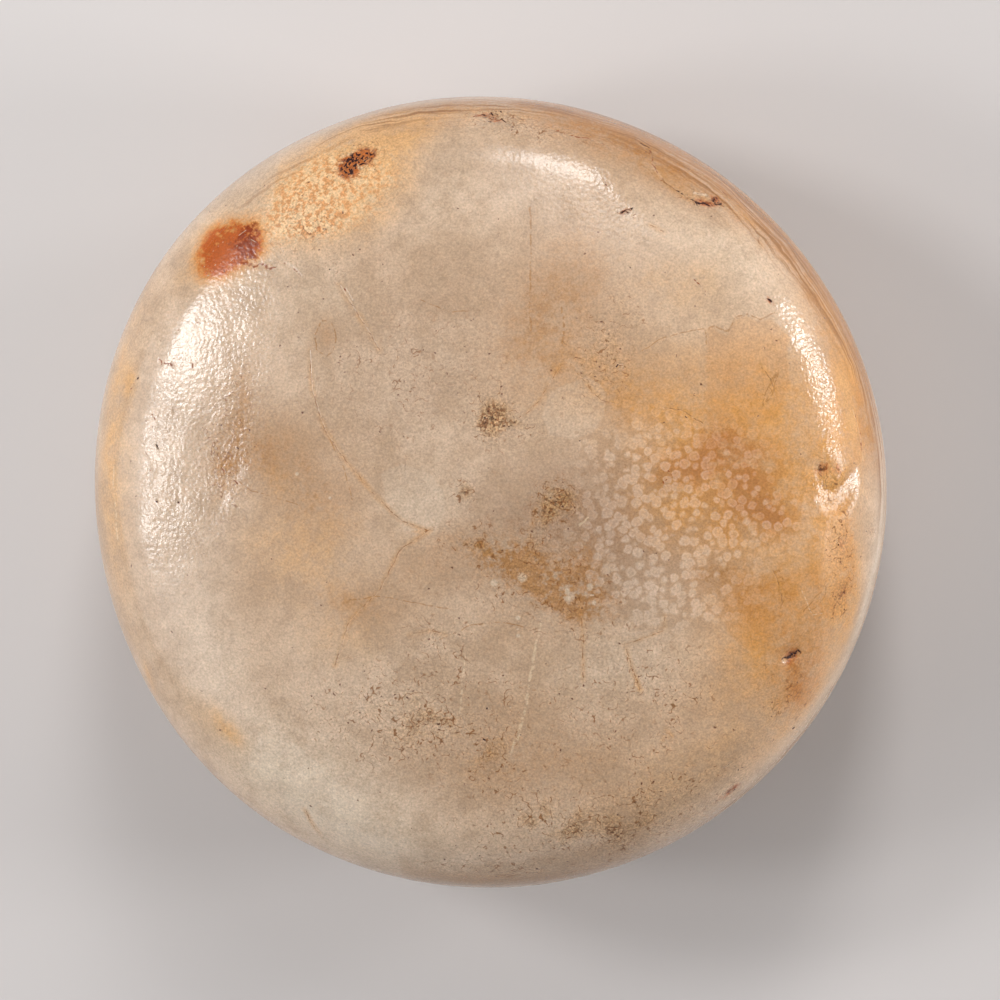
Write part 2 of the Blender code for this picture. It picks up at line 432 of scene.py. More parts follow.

# %% [markdown]
# ## Tan
# Iron in the ground water has tinted the stone a dull tan in soft patches, most of all in the upper middle
# and on the left. These are as broad as the cream ones and lie between them. The narrow blots along the
# bottom edge and the upper right edge are painted shade, which darkens the edges where less light falls.

# %% Tan
TAN = (
    Blot(280, 440, 3.0, 2.4, 80, 0.35), Blot(285, 480, 4.5, 2.6, -25, 0.4),
    Blot(318, 475, 4.0, 4.0, 0, 0.35), Blot(250, 450, 3.0, 2.0, 80, 0.3),
    Blot(330, 520, 4.0, 3.0, 30, 0.25), Blot(560, 310, 8.0, 4.0, 80, 0.7),
    Blot(515, 335, 4.0, 3.0, 60, 0.35), Blot(615, 385, 6.0, 3.0, 0, 0.6),
    Blot(500, 752, 8.0, 3.5, 0, 0.5), Blot(620, 810, 8.0, 4.0, 20, 0.1),
    Blot(370, 608, 3.5, 2.0, 0, 0.4), Blot(415, 565, 3.0, 3.0, 0, 0.35),
    Blot(325, 336, 1.5, 1.0, 80, 0.7), Blot(345, 604, 3.0, 2.0, 0, 0.3),
    Blot(228, 455, 3.0, 1.6, 80, 0.6), Blot(365, 265, 4.0, 3.0, 0, 0.2),
    # painted shade along the upper right edge
    Blot(752, 226, 6.0, 1.6, -45, 0.5), Blot(700, 176, 6.0, 1.6, -35, 0.4),
    Blot(460, 560, 4.0, 3.0, 0, 0.3), Blot(600, 850, 7.0, 2.0, 10, 0.25),
    # painted shade along the bottom edge
    Blot(505, 882, 9.0, 1.6, 2, 0.7), Blot(590, 868, 6.0, 2.0, 14, 0.2),
    Blot(660, 720, 6.0, 4.0, 0, 0.2), Blot(512, 700, 5.0, 3.0, 0, 0.2),
    Blot(230, 740, 4.0, 2.0, -50, 0.35), Blot(540, 785, 7.0, 4.0, 0, 0.25),
    Blot(545, 632, 6.0, 2.4, 0, 0.35), Blot(640, 260, 8.0, 5.0, 0, 0.4),
    Blot(236, 400, 5.0, 2.4, 80, 0.35), Blot(240, 600, 6.0, 3.0, 80, 0.15),
    Blot(245, 690, 5.0, 3.0, 60, 0.15), Blot(300, 300, 3.0, 2.0, 0, 0.1),
    Blot(632, 405, 3.0, 1.6, 0, 0.45), Blot(310, 560, 5.0, 4.0, 0, 0.25),
    Blot(692, 522, 4.0, 3.0, 0, 0.4),
)
paint("tan", amount_of(TAN, 14, 9, 6, 0.6))

# %% [markdown]
# ## Clear, cool brown
# Around the middle the chert is clearer. One looks deeper into it there, so it is darker and cooler, a
# brownish lilac against the warm cream.

# %% Lilac
LILAC = (
    Blot(520, 515, 5.0, 4.0, 0, 0.6), Blot(565, 510, 4.0, 3.0, 0, 0.4), Blot(625, 530, 5.0, 6.0, 0, 0.6),
    Blot(470, 560, 4.0, 3.0, 0, 0.15), Blot(880, 590, 8.0, 1.0, 80, 0.7),
    Blot(430, 395, 4.0, 2.0, 30, 0.2), Blot(400, 370, 7.0, 6.0, 0, 0.3),
    Blot(575, 470, 3.0, 3.0, 0, 0.2), Blot(615, 520, 4.0, 4.0, 0, 0.25),
    Blot(470, 300, 8.0, 4.0, 0, 0.2),
)
paint("lilac", amount_of(LILAC, 8, 8, 5, 0.6))

# %% [markdown]
# ## The golden rim, and painted shade along the top edge
# A band of golden brown runs over the shoulder, from the top round to the right. Along the top edge it is
# also painted shade, darker where the light falls off. It follows a curve, so it is a row of short blots,
# each turned to lie along the rim.

# %% Golden rim and painted edge shade
GOLD_RIM_AND_EDGE_SHADE = (
    Blot(395, 118, 3.5, 2.6, 14, 0.5), Blot(440, 108, 3.5, 2.2, 6, 0.4),
    Blot(490, 104, 3.5, 2.2, 0, 0.5), Blot(545, 106, 3.5, 3.0, -6, 0.8),
    Blot(590, 113, 3.5, 3.8, -11, 1.1), Blot(630, 126, 3.5, 4.2, -22, 1.1),
    Blot(670, 145, 3.5, 4.4, -29, 1.1), Blot(710, 171, 3.5, 4.4, -37, 1.0),
    Blot(750, 204, 3.5, 4.2, -44, 0.9), Blot(785, 239, 3.5, 4.0, -51, 0.8),
    Blot(815, 278, 3.5, 4.0, -58, 0.8), Blot(840, 318, 3.5, 4.0, -64, 0.8),
    Blot(858, 358, 3.5, 4.0, -70, 0.7), Blot(868, 400, 3.5, 3.8, -77, 0.7),
    Blot(872, 440, 3.5, 3.4, -84, 0.6), Blot(850, 400, 5.0, 3.0, -75, 0.3),
    Blot(835, 340, 5.0, 3.0, -62, 0.3), Blot(575, 126, 4.0, 2.4, -10, 0.5),
    Blot(625, 146, 4.0, 2.4, -22, 0.5), Blot(675, 176, 4.0, 2.4, -33, 0.35),
    Blot(404, 122, 5.0, 2.4, 12, 0.4),
)
paint("gold_rim_and_edge_shade", amount_of(GOLD_RIM_AND_EDGE_SHADE, 10, 6, 3, 0.7))

# %% [markdown]
# ## Ochre
# Rust that settled between the grains makes the large ochre field on the right, and it reaches down the
# right shoulder. Blots of different sizes that overlap give it an uneven border.

# %% Ochre
OCHRE = (
    Blot(735, 440, 8.0, 5.5, -15, 0.75), Blot(752, 370, 6.0, 5.0, 0, 0.32),
    Blot(660, 425, 5.0, 3.0, -10, 0.32), Blot(765, 505, 4.0, 3.5, 0, 0.45),
    Blot(758, 605, 4.5, 4.0, 0, 0.7), Blot(815, 590, 4.0, 8.0, 0, 0.45),
    Blot(770, 665, 5.0, 4.0, 0, 0.55), Blot(735, 730, 8.0, 5.0, 40, 0.25),
    Blot(845, 440, 2.0, 8.0, -5, 0.6), Blot(852, 590, 1.6, 6.0, 0, 0.6),
    Blot(845, 355, 6.0, 1.5, -65, 0.6), Blot(810, 430, 4.0, 8.0, 0, 0.35),
    Blot(620, 378, 6.0, 3.0, -10, 0.2), Blot(795, 715, 5.0, 2.4, 55, 0.4),
    Blot(660, 805, 6.0, 3.0, 30, 0.25), Blot(720, 570, 4.0, 3.0, 0, 0.2),
    Blot(690, 520, 4.0, 3.0, 0, 0.2), Blot(740, 515, 5.0, 3.0, 0, 0.3), Blot(684, 495, 4.5, 4.0, 0, 0.6),
    Blot(838, 560, 1.8, 5.0, 0, 0.8),
)
paint("ochre", amount_of(OCHRE, 7, 9, 5, 0.8))

# %% [markdown]
# ## Deep ochre
# Inside the ochre field lie darker spots, where the rust is thicker. They are a stain of their own, because
# they end more sharply than the field does.

# %% Deep ochre
DEEP_OCHRE = (
    Blot(722, 440, 2.2, 1.4, -50, 0.75), Blot(752, 458, 2.6, 1.5, 0, 0.55),
    Blot(688, 473, 2.4, 1.2, 10, 0.5), Blot(750, 487, 3.4, 2.2, -10, 0.45),
    Blot(765, 512, 3.0, 1.6, -30, 0.55), Blot(800, 672, 2.4, 2.2, 0, 0.65),
    Blot(755, 600, 3.4, 2.4, 0, 0.45), Blot(695, 458, 5.0, 1.8, 15, 0.4),
    Blot(848, 548, 1.2, 4.0, 0, 0.4), Blot(845, 590, 1.2, 1.6, 0, 0.4), Blot(800, 700, 2.0, 2.0, 0, 0.4),
    Blot(785, 640, 1.6, 2.6, 0, 0.45), Blot(736, 380, 4.0, 2.0, 0, 0.2),
    Blot(738, 512, 4.0, 2.4, 0, 0.3), Blot(820, 610, 2.0, 4.0, 0, 0.3),
    Blot(860, 430, 0.8, 4.0, -5, 0.5),
)
paint("deep_ochre", amount_of(DEEP_OCHRE, 5, 4, 2, 0.7))

# %% [markdown]
# ## Brown
# A narrow brown veil runs down and to the right below the middle, and a few brown spots lie elsewhere. They
# are small, so each is drawn by two or three blots.

# %% Brown
BROWN = (
    Blot(505, 560, 2.6, 1.4, -20, 0.7), Blot(540, 580, 3.4, 1.6, -35, 0.65),
    Blot(578, 600, 2.8, 1.5, -20, 0.7), Blot(585, 575, 1.6, 2.6, 0, 0.7),
    Blot(545, 578, 5.0, 2.6, -25, 0.4), Blot(712, 574, 2.0, 1.1, 0, 0.55),
    Blot(756, 586, 2.6, 1.5, 0, 0.3), Blot(665, 485, 0.8, 0.8, 0, 0.6), Blot(560, 500, 1.8, 1.6, 0, 0.3),
    Blot(470, 545, 2.4, 1.0, -10, 0.25), Blot(241, 410, 2.4, 0.8, 80, 0.4),
    Blot(226, 458, 2.4, 1.2, 75, 0.4), Blot(497, 420, 1.4, 1.5, 0, 0.3),
)
paint("brown", amount_of(BROWN, 6, 5, 2, 0.7))

# %% [markdown]
# ## Amber
# The left rim and the upper left are honey-coloured, where clear chert lies over something warmer. The tint
# is lighter than ochre and mostly follows the rim.

# %% Amber
AMBER = (
    Blot(112, 440, 12.0, 2.2, 88, 0.85), Blot(385, 135, 5.0, 3.0, 30, 0.9),
    Blot(350, 180, 5.0, 4.0, 30, 0.7), Blot(310, 200, 6.0, 4.0, 30, 0.6),
    Blot(150, 680, 1.6, 0.8, 60, 0.8), Blot(230, 730, 2.0, 1.0, -45, 0.8),
    Blot(205, 720, 3.0, 2.0, -60, 0.3), Blot(852, 415, 5.0, 1.0, -78, 0.7),
    Blot(490, 112, 5.0, 1.2, 0, 0.6), Blot(130, 385, 0.8, 1.2, 0, 0.8),
    Blot(320, 150, 5.0, 2.0, 32, 0.6), Blot(280, 480, 2.0, 1.0, -20, 0.3),
    Blot(215, 248, 4.0, 3.4, 60, 0.8), Blot(690, 760, 5.0, 2.0, 30, 0.3),
    Blot(300, 550, 5.0, 4.0, 0, 0.55), Blot(690, 285, 4.0, 3.0, 0, 0.4),
    Blot(345, 640, 4.0, 3.0, 0, 0.35),
)
paint("amber", amount_of(AMBER, 8, 6, 3, 0.6))

# %% [markdown]
# ## The sugary patch
# At the upper left the quartz has grown in coarse grains, like sugar, and the surface is yellow with white
# and orange grains. The amount only says where it lies, and the material makes the grains.

# %% Sugary patch
SUGAR = (
    Blot(312, 178, 5.0, 2.6, 35, 0.8), Blot(310, 222, 3.2, 1.6, 0, 0.9),
    Blot(350, 198, 4.0, 3.0, 20, 0.6), Blot(380, 175, 3.0, 2.5, 30, 0.4),
    Blot(285, 225, 3.0, 1.6, 30, 0.5), Blot(300, 195, 3.0, 2.4, 30, 0.4),
)
paint("sugar", amount_of(SUGAR, 3, 5, 3, 0.6))

# %% [markdown]
# ## Jasper
# A spot of jasper, chert that fine hematite has coloured red, sits beside the sugary patch. It has an
# orange border and a darker core, and the core gets an amount of its own. No such spot is invented on the
# hidden sides.

# %% Jasper, and its dark core
JASPER = (
    Blot(220, 247, 2.4, 2.0, 45, 0.5), Blot(211, 264, 1.6, 1.4, 0, 0.4),
    Blot(242, 236, 1.9, 1.7, 0, 0.5), Blot(234, 258, 1.8, 1.3, 0, 0.35),
    Blot(212, 238, 1.6, 1.2, 45, 0.25), Blot(250, 246, 1.3, 1.3, 0, 0.35),
    Blot(265, 267, 1.2, 0.3, 0, 0.2),
)
DARK_JASPER = (
    Blot(250, 236, 1.6, 0.7, 80, 0.6), Blot(250, 251, 1.5, 0.6, -70, 0.55),
    Blot(236, 262, 1.3, 0.6, 30, 0.25), Blot(236, 241, 1.4, 0.9, 45, 0.3),
)
paint("jasper", amount_of(JASPER))
paint("dark_jasper", amount_of(DARK_JASPER))

# %% [markdown]
# ## Spongy pits
# Here and there the stone is spongy: bits of shell have dissolved and left small holes with rust in them.
# Each pit is a small strong blot, and the material puts the holes in.

# %% Spongy pits
SPONGE = (
    Blot(349, 168, 1.1, 0.9, 60, 1.0), Blot(358, 158, 1.2, 0.8, 30, 1.0),
    Blot(368, 156, 0.7, 0.6, 0, 0.7), Blot(704, 203, 0.9, 0.35, -15, 0.8),
    Blot(716, 200, 0.6, 0.5, 0, 0.8), Blot(731, 791, 1.1, 0.6, 40, 0.7),
    Blot(822, 468, 0.6, 0.5, 0, 0.8), Blot(838, 469, 0.5, 0.5, 0, 0.6),
    Blot(845, 592, 0.7, 0.5, 30, 0.4), Blot(842, 545, 0.4, 1.0, 0, 0.3),
    Blot(792, 657, 0.9, 0.6, 30, 0.7), Blot(484, 115, 1.2, 0.5, -10, 0.6),
    Blot(497, 121, 0.8, 0.4, -20, 0.6), Blot(626, 212, 0.6, 0.3, 15, 0.8),
    Blot(320, 228, 0.7, 0.3, 20, 0.5), Blot(770, 301, 0.6, 0.25, -40, 0.7),
)
paint("sponge", amount_of(SPONGE, 5, 1.5, 0.9, 0.8))

# %% [markdown]
# ## Streaks
# The rim cuts across the layers of the stone, and they show on it as fine streaks that run round it. Long
# blots say where they are strong.

# %% Streaked rim
STREAKED = (
    Blot(560, 108, 8.0, 3.0, -10, 0.6), Blot(640, 131, 8.0, 3.6, -24, 0.9),
    Blot(700, 166, 8.0, 3.8, -36, 1.0), Blot(755, 218, 8.0, 2.2, -48, 1.1),
    Blot(805, 272, 8.0, 2.0, -56, 1.0), Blot(842, 330, 8.0, 1.8, -66, 1.0),
    Blot(868, 390, 8.0, 1.8, -75, 0.9), Blot(880, 460, 8.0, 1.2, -86, 0.7),
    Blot(480, 106, 8.0, 1.2, 0, 0.7), Blot(400, 118, 8.0, 1.2, 14, 0.6),
    Blot(280, 178, 8.0, 1.0, 38, 0.4), Blot(830, 700, 8.0, 1.5, 58, 0.5),
    Blot(780, 765, 8.0, 1.5, 46, 0.5), Blot(700, 825, 8.0, 1.4, 32, 0.35),
    Blot(600, 868, 8.0, 1.2, 16, 0.3),
)
paint("streaked", amount_of(STREAKED, 14, 10, 2.4, 0.45))

# %% [markdown]
# ## Ooids
# Ooids are round grains of lime that rolled on a warm sea floor, layer over layer, and silica has since
# replaced them. They show as small pale rings to the right of the middle. The amount is how closely they
# are packed.

# %% Ooids
OOIDS = (
    Blot(645, 485, 5.0, 4.0, 30, 1.0), Blot(690, 545, 6.0, 5.0, 0, 1.2),
    Blot(735, 450, 4.0, 2.6, 0, 0.6), Blot(755, 510, 4.0, 3.0, 0, 0.7), Blot(620, 550, 4.0, 4.0, 0, 0.6),
    Blot(645, 600, 5.0, 3.0, 0, 0.6), Blot(560, 600, 6.0, 2.5, 0, 0.25),
    Blot(650, 425, 4.0, 2.0, 0, 0.4), Blot(805, 645, 2.4, 3.0, 0, 0.5),
    Blot(590, 440, 3.0, 2.0, 0, 0.25), Blot(820, 520, 3.0, 3.0, 0, 0.4),
    Blot(530, 560, 4.0, 3.0, 0, 0.2), Blot(700, 610, 4.0, 2.0, 0, 0.4), Blot(620, 460, 3.0, 2.0, 0, 0.4),
)
paint("ooids", amount_of(OOIDS, 5, 9, 6, 0.7))

# %% [markdown]
# ## Dirt
# Soil and the grease of hands have settled in the pores. The two dark spots near the middle are thick with
# it, and the lower part of the face has a thin scatter.

# %% Dirt
DIRT = (
    Blot(440, 720, 10.0, 4.0, 0, 0.4), Blot(412, 698, 3.0, 1.8, 0, 0.6),
    Blot(470, 742, 3.6, 2.0, -25, 0.75), Blot(545, 820, 4.0, 1.6, -15, 0.65),
    Blot(628, 826, 3.0, 2.2, 40, 0.45), Blot(380, 735, 3.0, 1.6, 0, 0.4),
    Blot(570, 830, 9.0, 4.0, 6, 0.35), Blot(660, 800, 7.0, 4.0, 30, 0.35),
    Blot(630, 855, 6.0, 2.2, 12, 0.25), Blot(558, 500, 1.5, 1.2, -20, 2.0),
    Blot(494, 420, 1.3, 1.5, 0, 2.4), Blot(515, 425, 2.2, 0.7, -10, 1.0),
    Blot(540, 525, 0.8, 2.0, -10, 0.8), Blot(497, 117, 2.0, 0.9, -10, 1.6),
    Blot(604, 350, 4.0, 2.4, 70, 0.6), Blot(555, 133, 5.0, 0.9, -10, 0.6),
    Blot(357, 160, 1.6, 1.3, 40, 1.2), Blot(842, 560, 1.0, 5.0, 0, 0.8),
    Blot(846, 592, 1.0, 1.4, 0, 1.0), Blot(872, 531, 0.8, 0.8, 0, 0.9), Blot(830, 478, 2.0, 1.5, 0, 0.5),
    Blot(775, 765, 6.0, 1.2, 45, 0.4), Blot(731, 791, 1.4, 1.0, 40, 1.0),
    Blot(540, 585, 6.0, 3.0, -25, 0.7), Blot(440, 640, 3.0, 2.0, 0, 0.4),
    Blot(650, 690, 6.0, 4.0, 0, 0.3), Blot(228, 440, 2.0, 5.0, 0, 0.6), Blot(318, 226, 1.6, 0.8, 0, 0.8),
    Blot(710, 202, 2.0, 0.8, -10, 1.0), Blot(626, 212, 0.8, 0.5, 0, 1.0),
    Blot(400, 380, 8.0, 6.0, 0, 0.25), Blot(790, 690, 3.0, 5.0, 0, 0.3),
    Blot(480, 870, 8.0, 1.2, 5, 0.3), Blot(300, 260, 5.0, 2.0, -20, 0.2),
    Blot(465, 492, 0.8, 1.0, 0, 1.1), Blot(480, 545, 2.4, 1.2, -20, 0.7),
)
paint("dirt", amount_of(DIRT, 16, 8, 4, 0.7))

# %% [markdown]
# ## Pecked places
# A hammer stone pecked the disc to shape, and grinding took most of its dents away. On the shoulders they
# are still deep enough to break up the shine. The numbers are kept, because the lumps on the mesh follow
# them as well.

# %% Pecked places
PECKED = (
    Blot(186, 345, 5.0, 3.0, 80, 0.5), Blot(160, 330, 5.0, 1.4, 70, 0.5),
    Blot(240, 300, 6.0, 3.0, 60, 0.9), Blot(240, 400, 8.0, 3.0, 80, 0.8),
    Blot(168, 484, 6.0, 4.0, 80, 1.0), Blot(235, 470, 5.0, 3.0, 80, 0.5),
    Blot(165, 420, 5.0, 2.5, 80, 0.6), Blot(806, 350, 8.0, 2.4, -70, 1.7),
    Blot(828, 490, 4.0, 3.0, 0, 1.6), Blot(560, 165, 6.0, 3.0, -15, 0.5),
    Blot(845, 560, 1.6, 6.0, 0, 0.6), Blot(700, 205, 6.0, 1.5, -20, 0.8),
    Blot(165, 540, 5.0, 3.0, 80, 0.5), Blot(610, 200, 5.0, 3.0, -20, 0.9),
    Blot(826, 400, 4.0, 2.0, -75, 0.6), Blot(230, 248, 2.4, 2.4, 0, 0.4),
)
pecked = amount_of(PECKED, 10, 9, 6, 0.8)
paint("pecked", pecked)

# %% [markdown]
# ## Dull places
# A few crumbly places took no gloss at all, such as the broken edge on the right. They need an amount of
# their own, because a stain changes the colour and this changes the shine.

# %% Dull places
DULL = (
    Blot(842, 560, 1.8, 4.5, 0, 1.0), Blot(840, 530, 1.4, 1.4, 0, 0.5), Blot(822, 468, 1.2, 0.8, 0, 0.8),
    Blot(836, 470, 1.0, 0.8, 0, 0.5), Blot(230, 248, 2.4, 2.4, 0, 0.3), Blot(706, 203, 1.6, 0.6, 0, 0.6),
)
paint("dull", amount_of(DULL))

# %% [markdown]
# ## Patches with crisp edges
# Some patches of the chert end at a sharp line, where one bit of old shell sand meets the next. A few
# corners outline each one. Every point keeps its depth inside the nearest outline, so that the material can
# draw the edge where the depth is nothing, much finer than the mesh's faces.

# %% Golden and pale patches
GOLD_PATCHES = (
    ((706, 350), (705, 330), (712, 326), (727, 333), (732, 321), (745, 314), (758, 320), (772, 315),
     (788, 335), (792, 380), (782, 412), (755, 430), (722, 425), (703, 400)),
    ((762, 408), (764, 395), (771, 381), (780, 368), (781, 379), (776, 392), (769, 402)),
    ((736, 583), (760, 573), (790, 570), (812, 566), (825, 576), (825, 592), (808, 615), (785, 640),
     (750, 652), (726, 635), (722, 605)),
)
PALE_PATCHES = (
    ((586, 375), (600, 384), (607, 394), (606, 415), (594, 432), (572, 440), (550, 436), (541, 416),
     (550, 390)),
    ((380, 472), (402, 463), (428, 472), (445, 494), (446, 516), (432, 533), (405, 530), (388, 508)),
    ((262, 735), (300, 745), (345, 790), (392, 828), (402, 876), (350, 868), (290, 822), (240, 770)),
    ((196, 222), (226, 190), (262, 163), (280, 158), (275, 185), (270, 215), (248, 222), (222, 226)),
)
paint("gold_patch", depth_inside(GOLD_PATCHES))
paint("pale_patch", depth_inside(PALE_PATCHES))

# %% [markdown]
# ## Thin marks
# A crack is far thinner than the mesh's faces, so it can't be painted as an amount. Instead every nearby
# point keeps the way and distance back to the nearest mark, counted in the mark's own half widths. Between
# points this offset changes evenly, so the material still finds the thin line sharply: it is where the
# offset is shorter than one. Points far from every mark keep a long offset, which draws nothing.

# %% Thin marks become an offset
Mark = namedtuple("Mark", "half_width trail")
FAR_AWAY = (0.0, 0.0, 60.0)
LONGEST_STEP = 0.8  # mm
SHORTEST_SQUARED = 1e-12  # keeps a mark of one point from dividing by nothing


def steps_along(mark):
    """The mark's trail on the stone as short straight steps, each a start and an end."""
    trail = [np.array(on_stone(*pixel)[0]) for pixel in mark.trail]
    steps = []
    for start, end in zip(trail, trail[1:] or trail):
        pieces = math.ceil(np.linalg.norm(end - start) / MM / LONGEST_STEP) or 1
        middles = [start + (end - start) * piece / pieces for piece in range(pieces + 1)]
        steps += zip(middles, middles[1:])
    return steps


def offset_to(marks):
    """For every point the offset, in half widths, from the nearest place on a mark."""
    nearest = np.tile(FAR_AWAY, (len(points), 1))
    distance = np.full(len(points), REACH)
    for mark in marks:
        for start, end in steps_along(mark):
            near = np.flatnonzero(np.abs(points - start).max(axis=1) < (REACH + LONGEST_STEP) * MM)
            way = end - start
            share = np.clip((points[near] - start) @ way / max(way @ way, SHORTEST_SQUARED), 0, 1)
            offset = (points[near] - start - share[:, None] * way) / MM
            length = np.linalg.norm(offset, axis=1)
            closer = length < distance[near]
            distance[near[closer]] = length[closer]
            nearest[near[closer]] = offset[closer] / mark.half_width
    return nearest


print("a mark is felt up to", REACH, "mm away")

# %% [markdown]
# ## Cracks
# Fine natural cracks cross the face in long crooked lines, each with a little rust in it. A mark's first
# number is half its width in millimetres, and its trail follows.

# %% Cracks
CRACKS = (
    Mark(0.05, ((310, 350), (312, 390), (325, 430), (345, 460), (375, 495), (400, 520), (425, 530))),
    Mark(0.05, ((430, 530), (400, 550), (380, 590), (350, 620), (335, 665))),
    Mark(0.06, ((340, 285), (352, 305), (365, 325), (380, 350))),
    Mark(0.04, ((560, 365), (540, 400), (525, 415))), Mark(0.04, ((575, 370), (600, 400), (620, 405))),
    Mark(0.05, ((665, 408), (680, 410), (690, 415), (703, 424))),
    Mark(0.05, ((580, 600), (583, 640), (583, 680))), Mark(0.05, ((625, 645), (632, 668), (640, 690))),
    Mark(0.04, ((625, 645), (645, 638), (665, 630), (665, 615))),
    Mark(0.06, ((305, 810), (314, 826), (325, 840))),
    Mark(0.09, ((650, 150), (655, 170), (668, 185), (690, 198), (722, 205), (745, 218),
                (757, 232), (760, 245))),
    Mark(0.05, ((773, 570), (780, 588), (783, 608))), Mark(0.05, ((760, 365), (772, 380), (776, 400))),
    Mark(0.05, ((650, 225), (665, 232))), Mark(0.05, ((410, 635), (430, 631), (445, 634))),
    Mark(0.05, ((535, 510), (532, 525), (530, 540))), Mark(0.04, ((665, 728), (663, 740))),
    Mark(0.04, ((665, 728), (672, 736))),
)
crack_offset = offset_to(CRACKS)
paint("crack_offset", crack_offset, "FLOAT_VECTOR")

# %% [markdown]
# ## Veins, and a painted line of rim light
# Old cracks that silica has healed stand out as pale lines. They are wider than the open cracks and need a
# colour of their own, so they are a set of their own. The last line, along the left edge, is a painted
# highlight: a line of rim light on the edge, drawn in the veins' colour.

# %% Veins and a painted rim light
VEINS_AND_RIM_LIGHT = (
    Mark(0.14, ((542, 620), (535, 650), (528, 690), (522, 725), (510, 755))),
    Mark(0.09, ((465, 655), (462, 685), (460, 715))), Mark(0.12, ((580, 525), (588, 518))),
    Mark(0.05, ((800, 585), (806, 600), (812, 615), (828, 612))),
    Mark(0.10, ((860, 330), (872, 360), (880, 400), (884, 450))),
    # painted highlight: a line of rim light along the left edge
    Mark(0.14, ((113, 466), (115, 500), (118, 540))),
)
paint("vein_and_rim_light_offset", offset_to(VEINS_AND_RIM_LIGHT), "FLOAT_VECTOR")

# %% [markdown]
# ## Rust marks
# Short rusty nicks lie along the shoulders, perhaps from knocks against other stones. They are drawn like
# the cracks, only wider and shorter.

# %% Rust marks
RUST_MARKS = (
    Mark(0.17, ((245, 266), (258, 265), (272, 269))), Mark(0.15, ((285, 263), (293, 268), (300, 275))),
    Mark(0.08, ((625, 213), (631, 210))), Mark(0.09, ((693, 277), (698, 284))),
    Mark(0.08, ((705, 291), (708, 296))), Mark(0.10, ((130, 390), (137, 378))),
    Mark(0.10, ((765, 297), (771, 302))), Mark(0.09, ((345, 288), (352, 300))),
    Mark(0.08, ((195, 245), (204, 238))), Mark(0.10, ((650, 150), (653, 166), (662, 180))),
    Mark(0.12, ((690, 170), (702, 176))), Mark(0.09, ((720, 190), (738, 204))),
    Mark(0.09, ((853, 410), (860, 435), (863, 460))), Mark(0.10, ((818, 466), (827, 474))),
    Mark(0.07, ((603, 178), (607, 190))), Mark(0.08, ((548, 129), (560, 131))),
    Mark(0.08, ((570, 136), (583, 137), (596, 141), (606, 145))),
    Mark(0.08, ((470, 118), (486, 113), (500, 118))), Mark(0.08, ((500, 118), (512, 127))),
    Mark(0.10, ((668, 470), (672, 476))), Mark(0.08, ((664, 483), (668, 488))),
    Mark(0.14, ((159, 360), (161, 364))), Mark(0.13, ((172, 363), (173, 367))),
    Mark(0.12, ((193, 364), (193, 367))), Mark(0.10, ((196, 319), (197, 322))),
    Mark(0.10, ((178, 329), (180, 331))), Mark(0.08, ((222, 468), (225, 472))),
    Mark(0.12, ((157, 500), (158, 502))), Mark(0.12, ((178, 502), (179, 500))),
    Mark(0.10, ((150, 470), (152, 468))), Mark(0.08, ((232, 478), (239, 484))),
    Mark(0.07, ((152, 415), (155, 420))), Mark(0.08, ((145, 452), (149, 458))),
)
paint("rust_offset", offset_to(RUST_MARKS), "FLOAT_VECTOR")

# %% [markdown]
# ## Faint lines
# The outlines of old bits of shell show as the faintest lines, one of them round and some like slim leaves.
# A closed trail that ends where it starts draws the round one.

# %% Faint lines
FAINT_LINES = (
    Mark(0.08, ((322, 320), (331, 322), (336, 334), (334, 350), (326, 357), (317, 350),
                (315, 335), (322, 320))),
    Mark(0.08, ((706, 345), (706, 328), (715, 326), (727, 333), (735, 318), (748, 314),
                (760, 320), (775, 312))),
    Mark(0.07, ((762, 407), (766, 392), (774, 376), (780, 368))),
    Mark(0.07, ((762, 407), (772, 396), (780, 368))),
    Mark(0.08, ((773, 570), (778, 580), (780, 592), (777, 608))),
    Mark(0.08, ((778, 568), (784, 582), (785, 596), (781, 609))),
    Mark(0.07, ((803, 612), (812, 602), (822, 590), (827, 578))),
    Mark(0.07, ((803, 612), (816, 608), (825, 596), (827, 578))),
    Mark(0.06, ((640, 352), (662, 338), (690, 331), (706, 328))),
    Mark(0.06, ((225, 470), (250, 490), (300, 505))),
    Mark(0.06, ((350, 600), (380, 596), (420, 604), (455, 610))),
    Mark(0.06, ((330, 440), (345, 470), (352, 500))),
    Mark(0.10, ((530, 205), (531, 245), (530, 300), (531, 330))),
    Mark(0.12, ((561, 305), (564, 325), (563, 345))),
    Mark(0.06, ((440, 640), (470, 625), (500, 622), (530, 628))),
    Mark(0.05, ((420, 300), (450, 312), (480, 310))),
)
paint("faint_offset", offset_to(FAINT_LINES), "FLOAT_VECTOR")
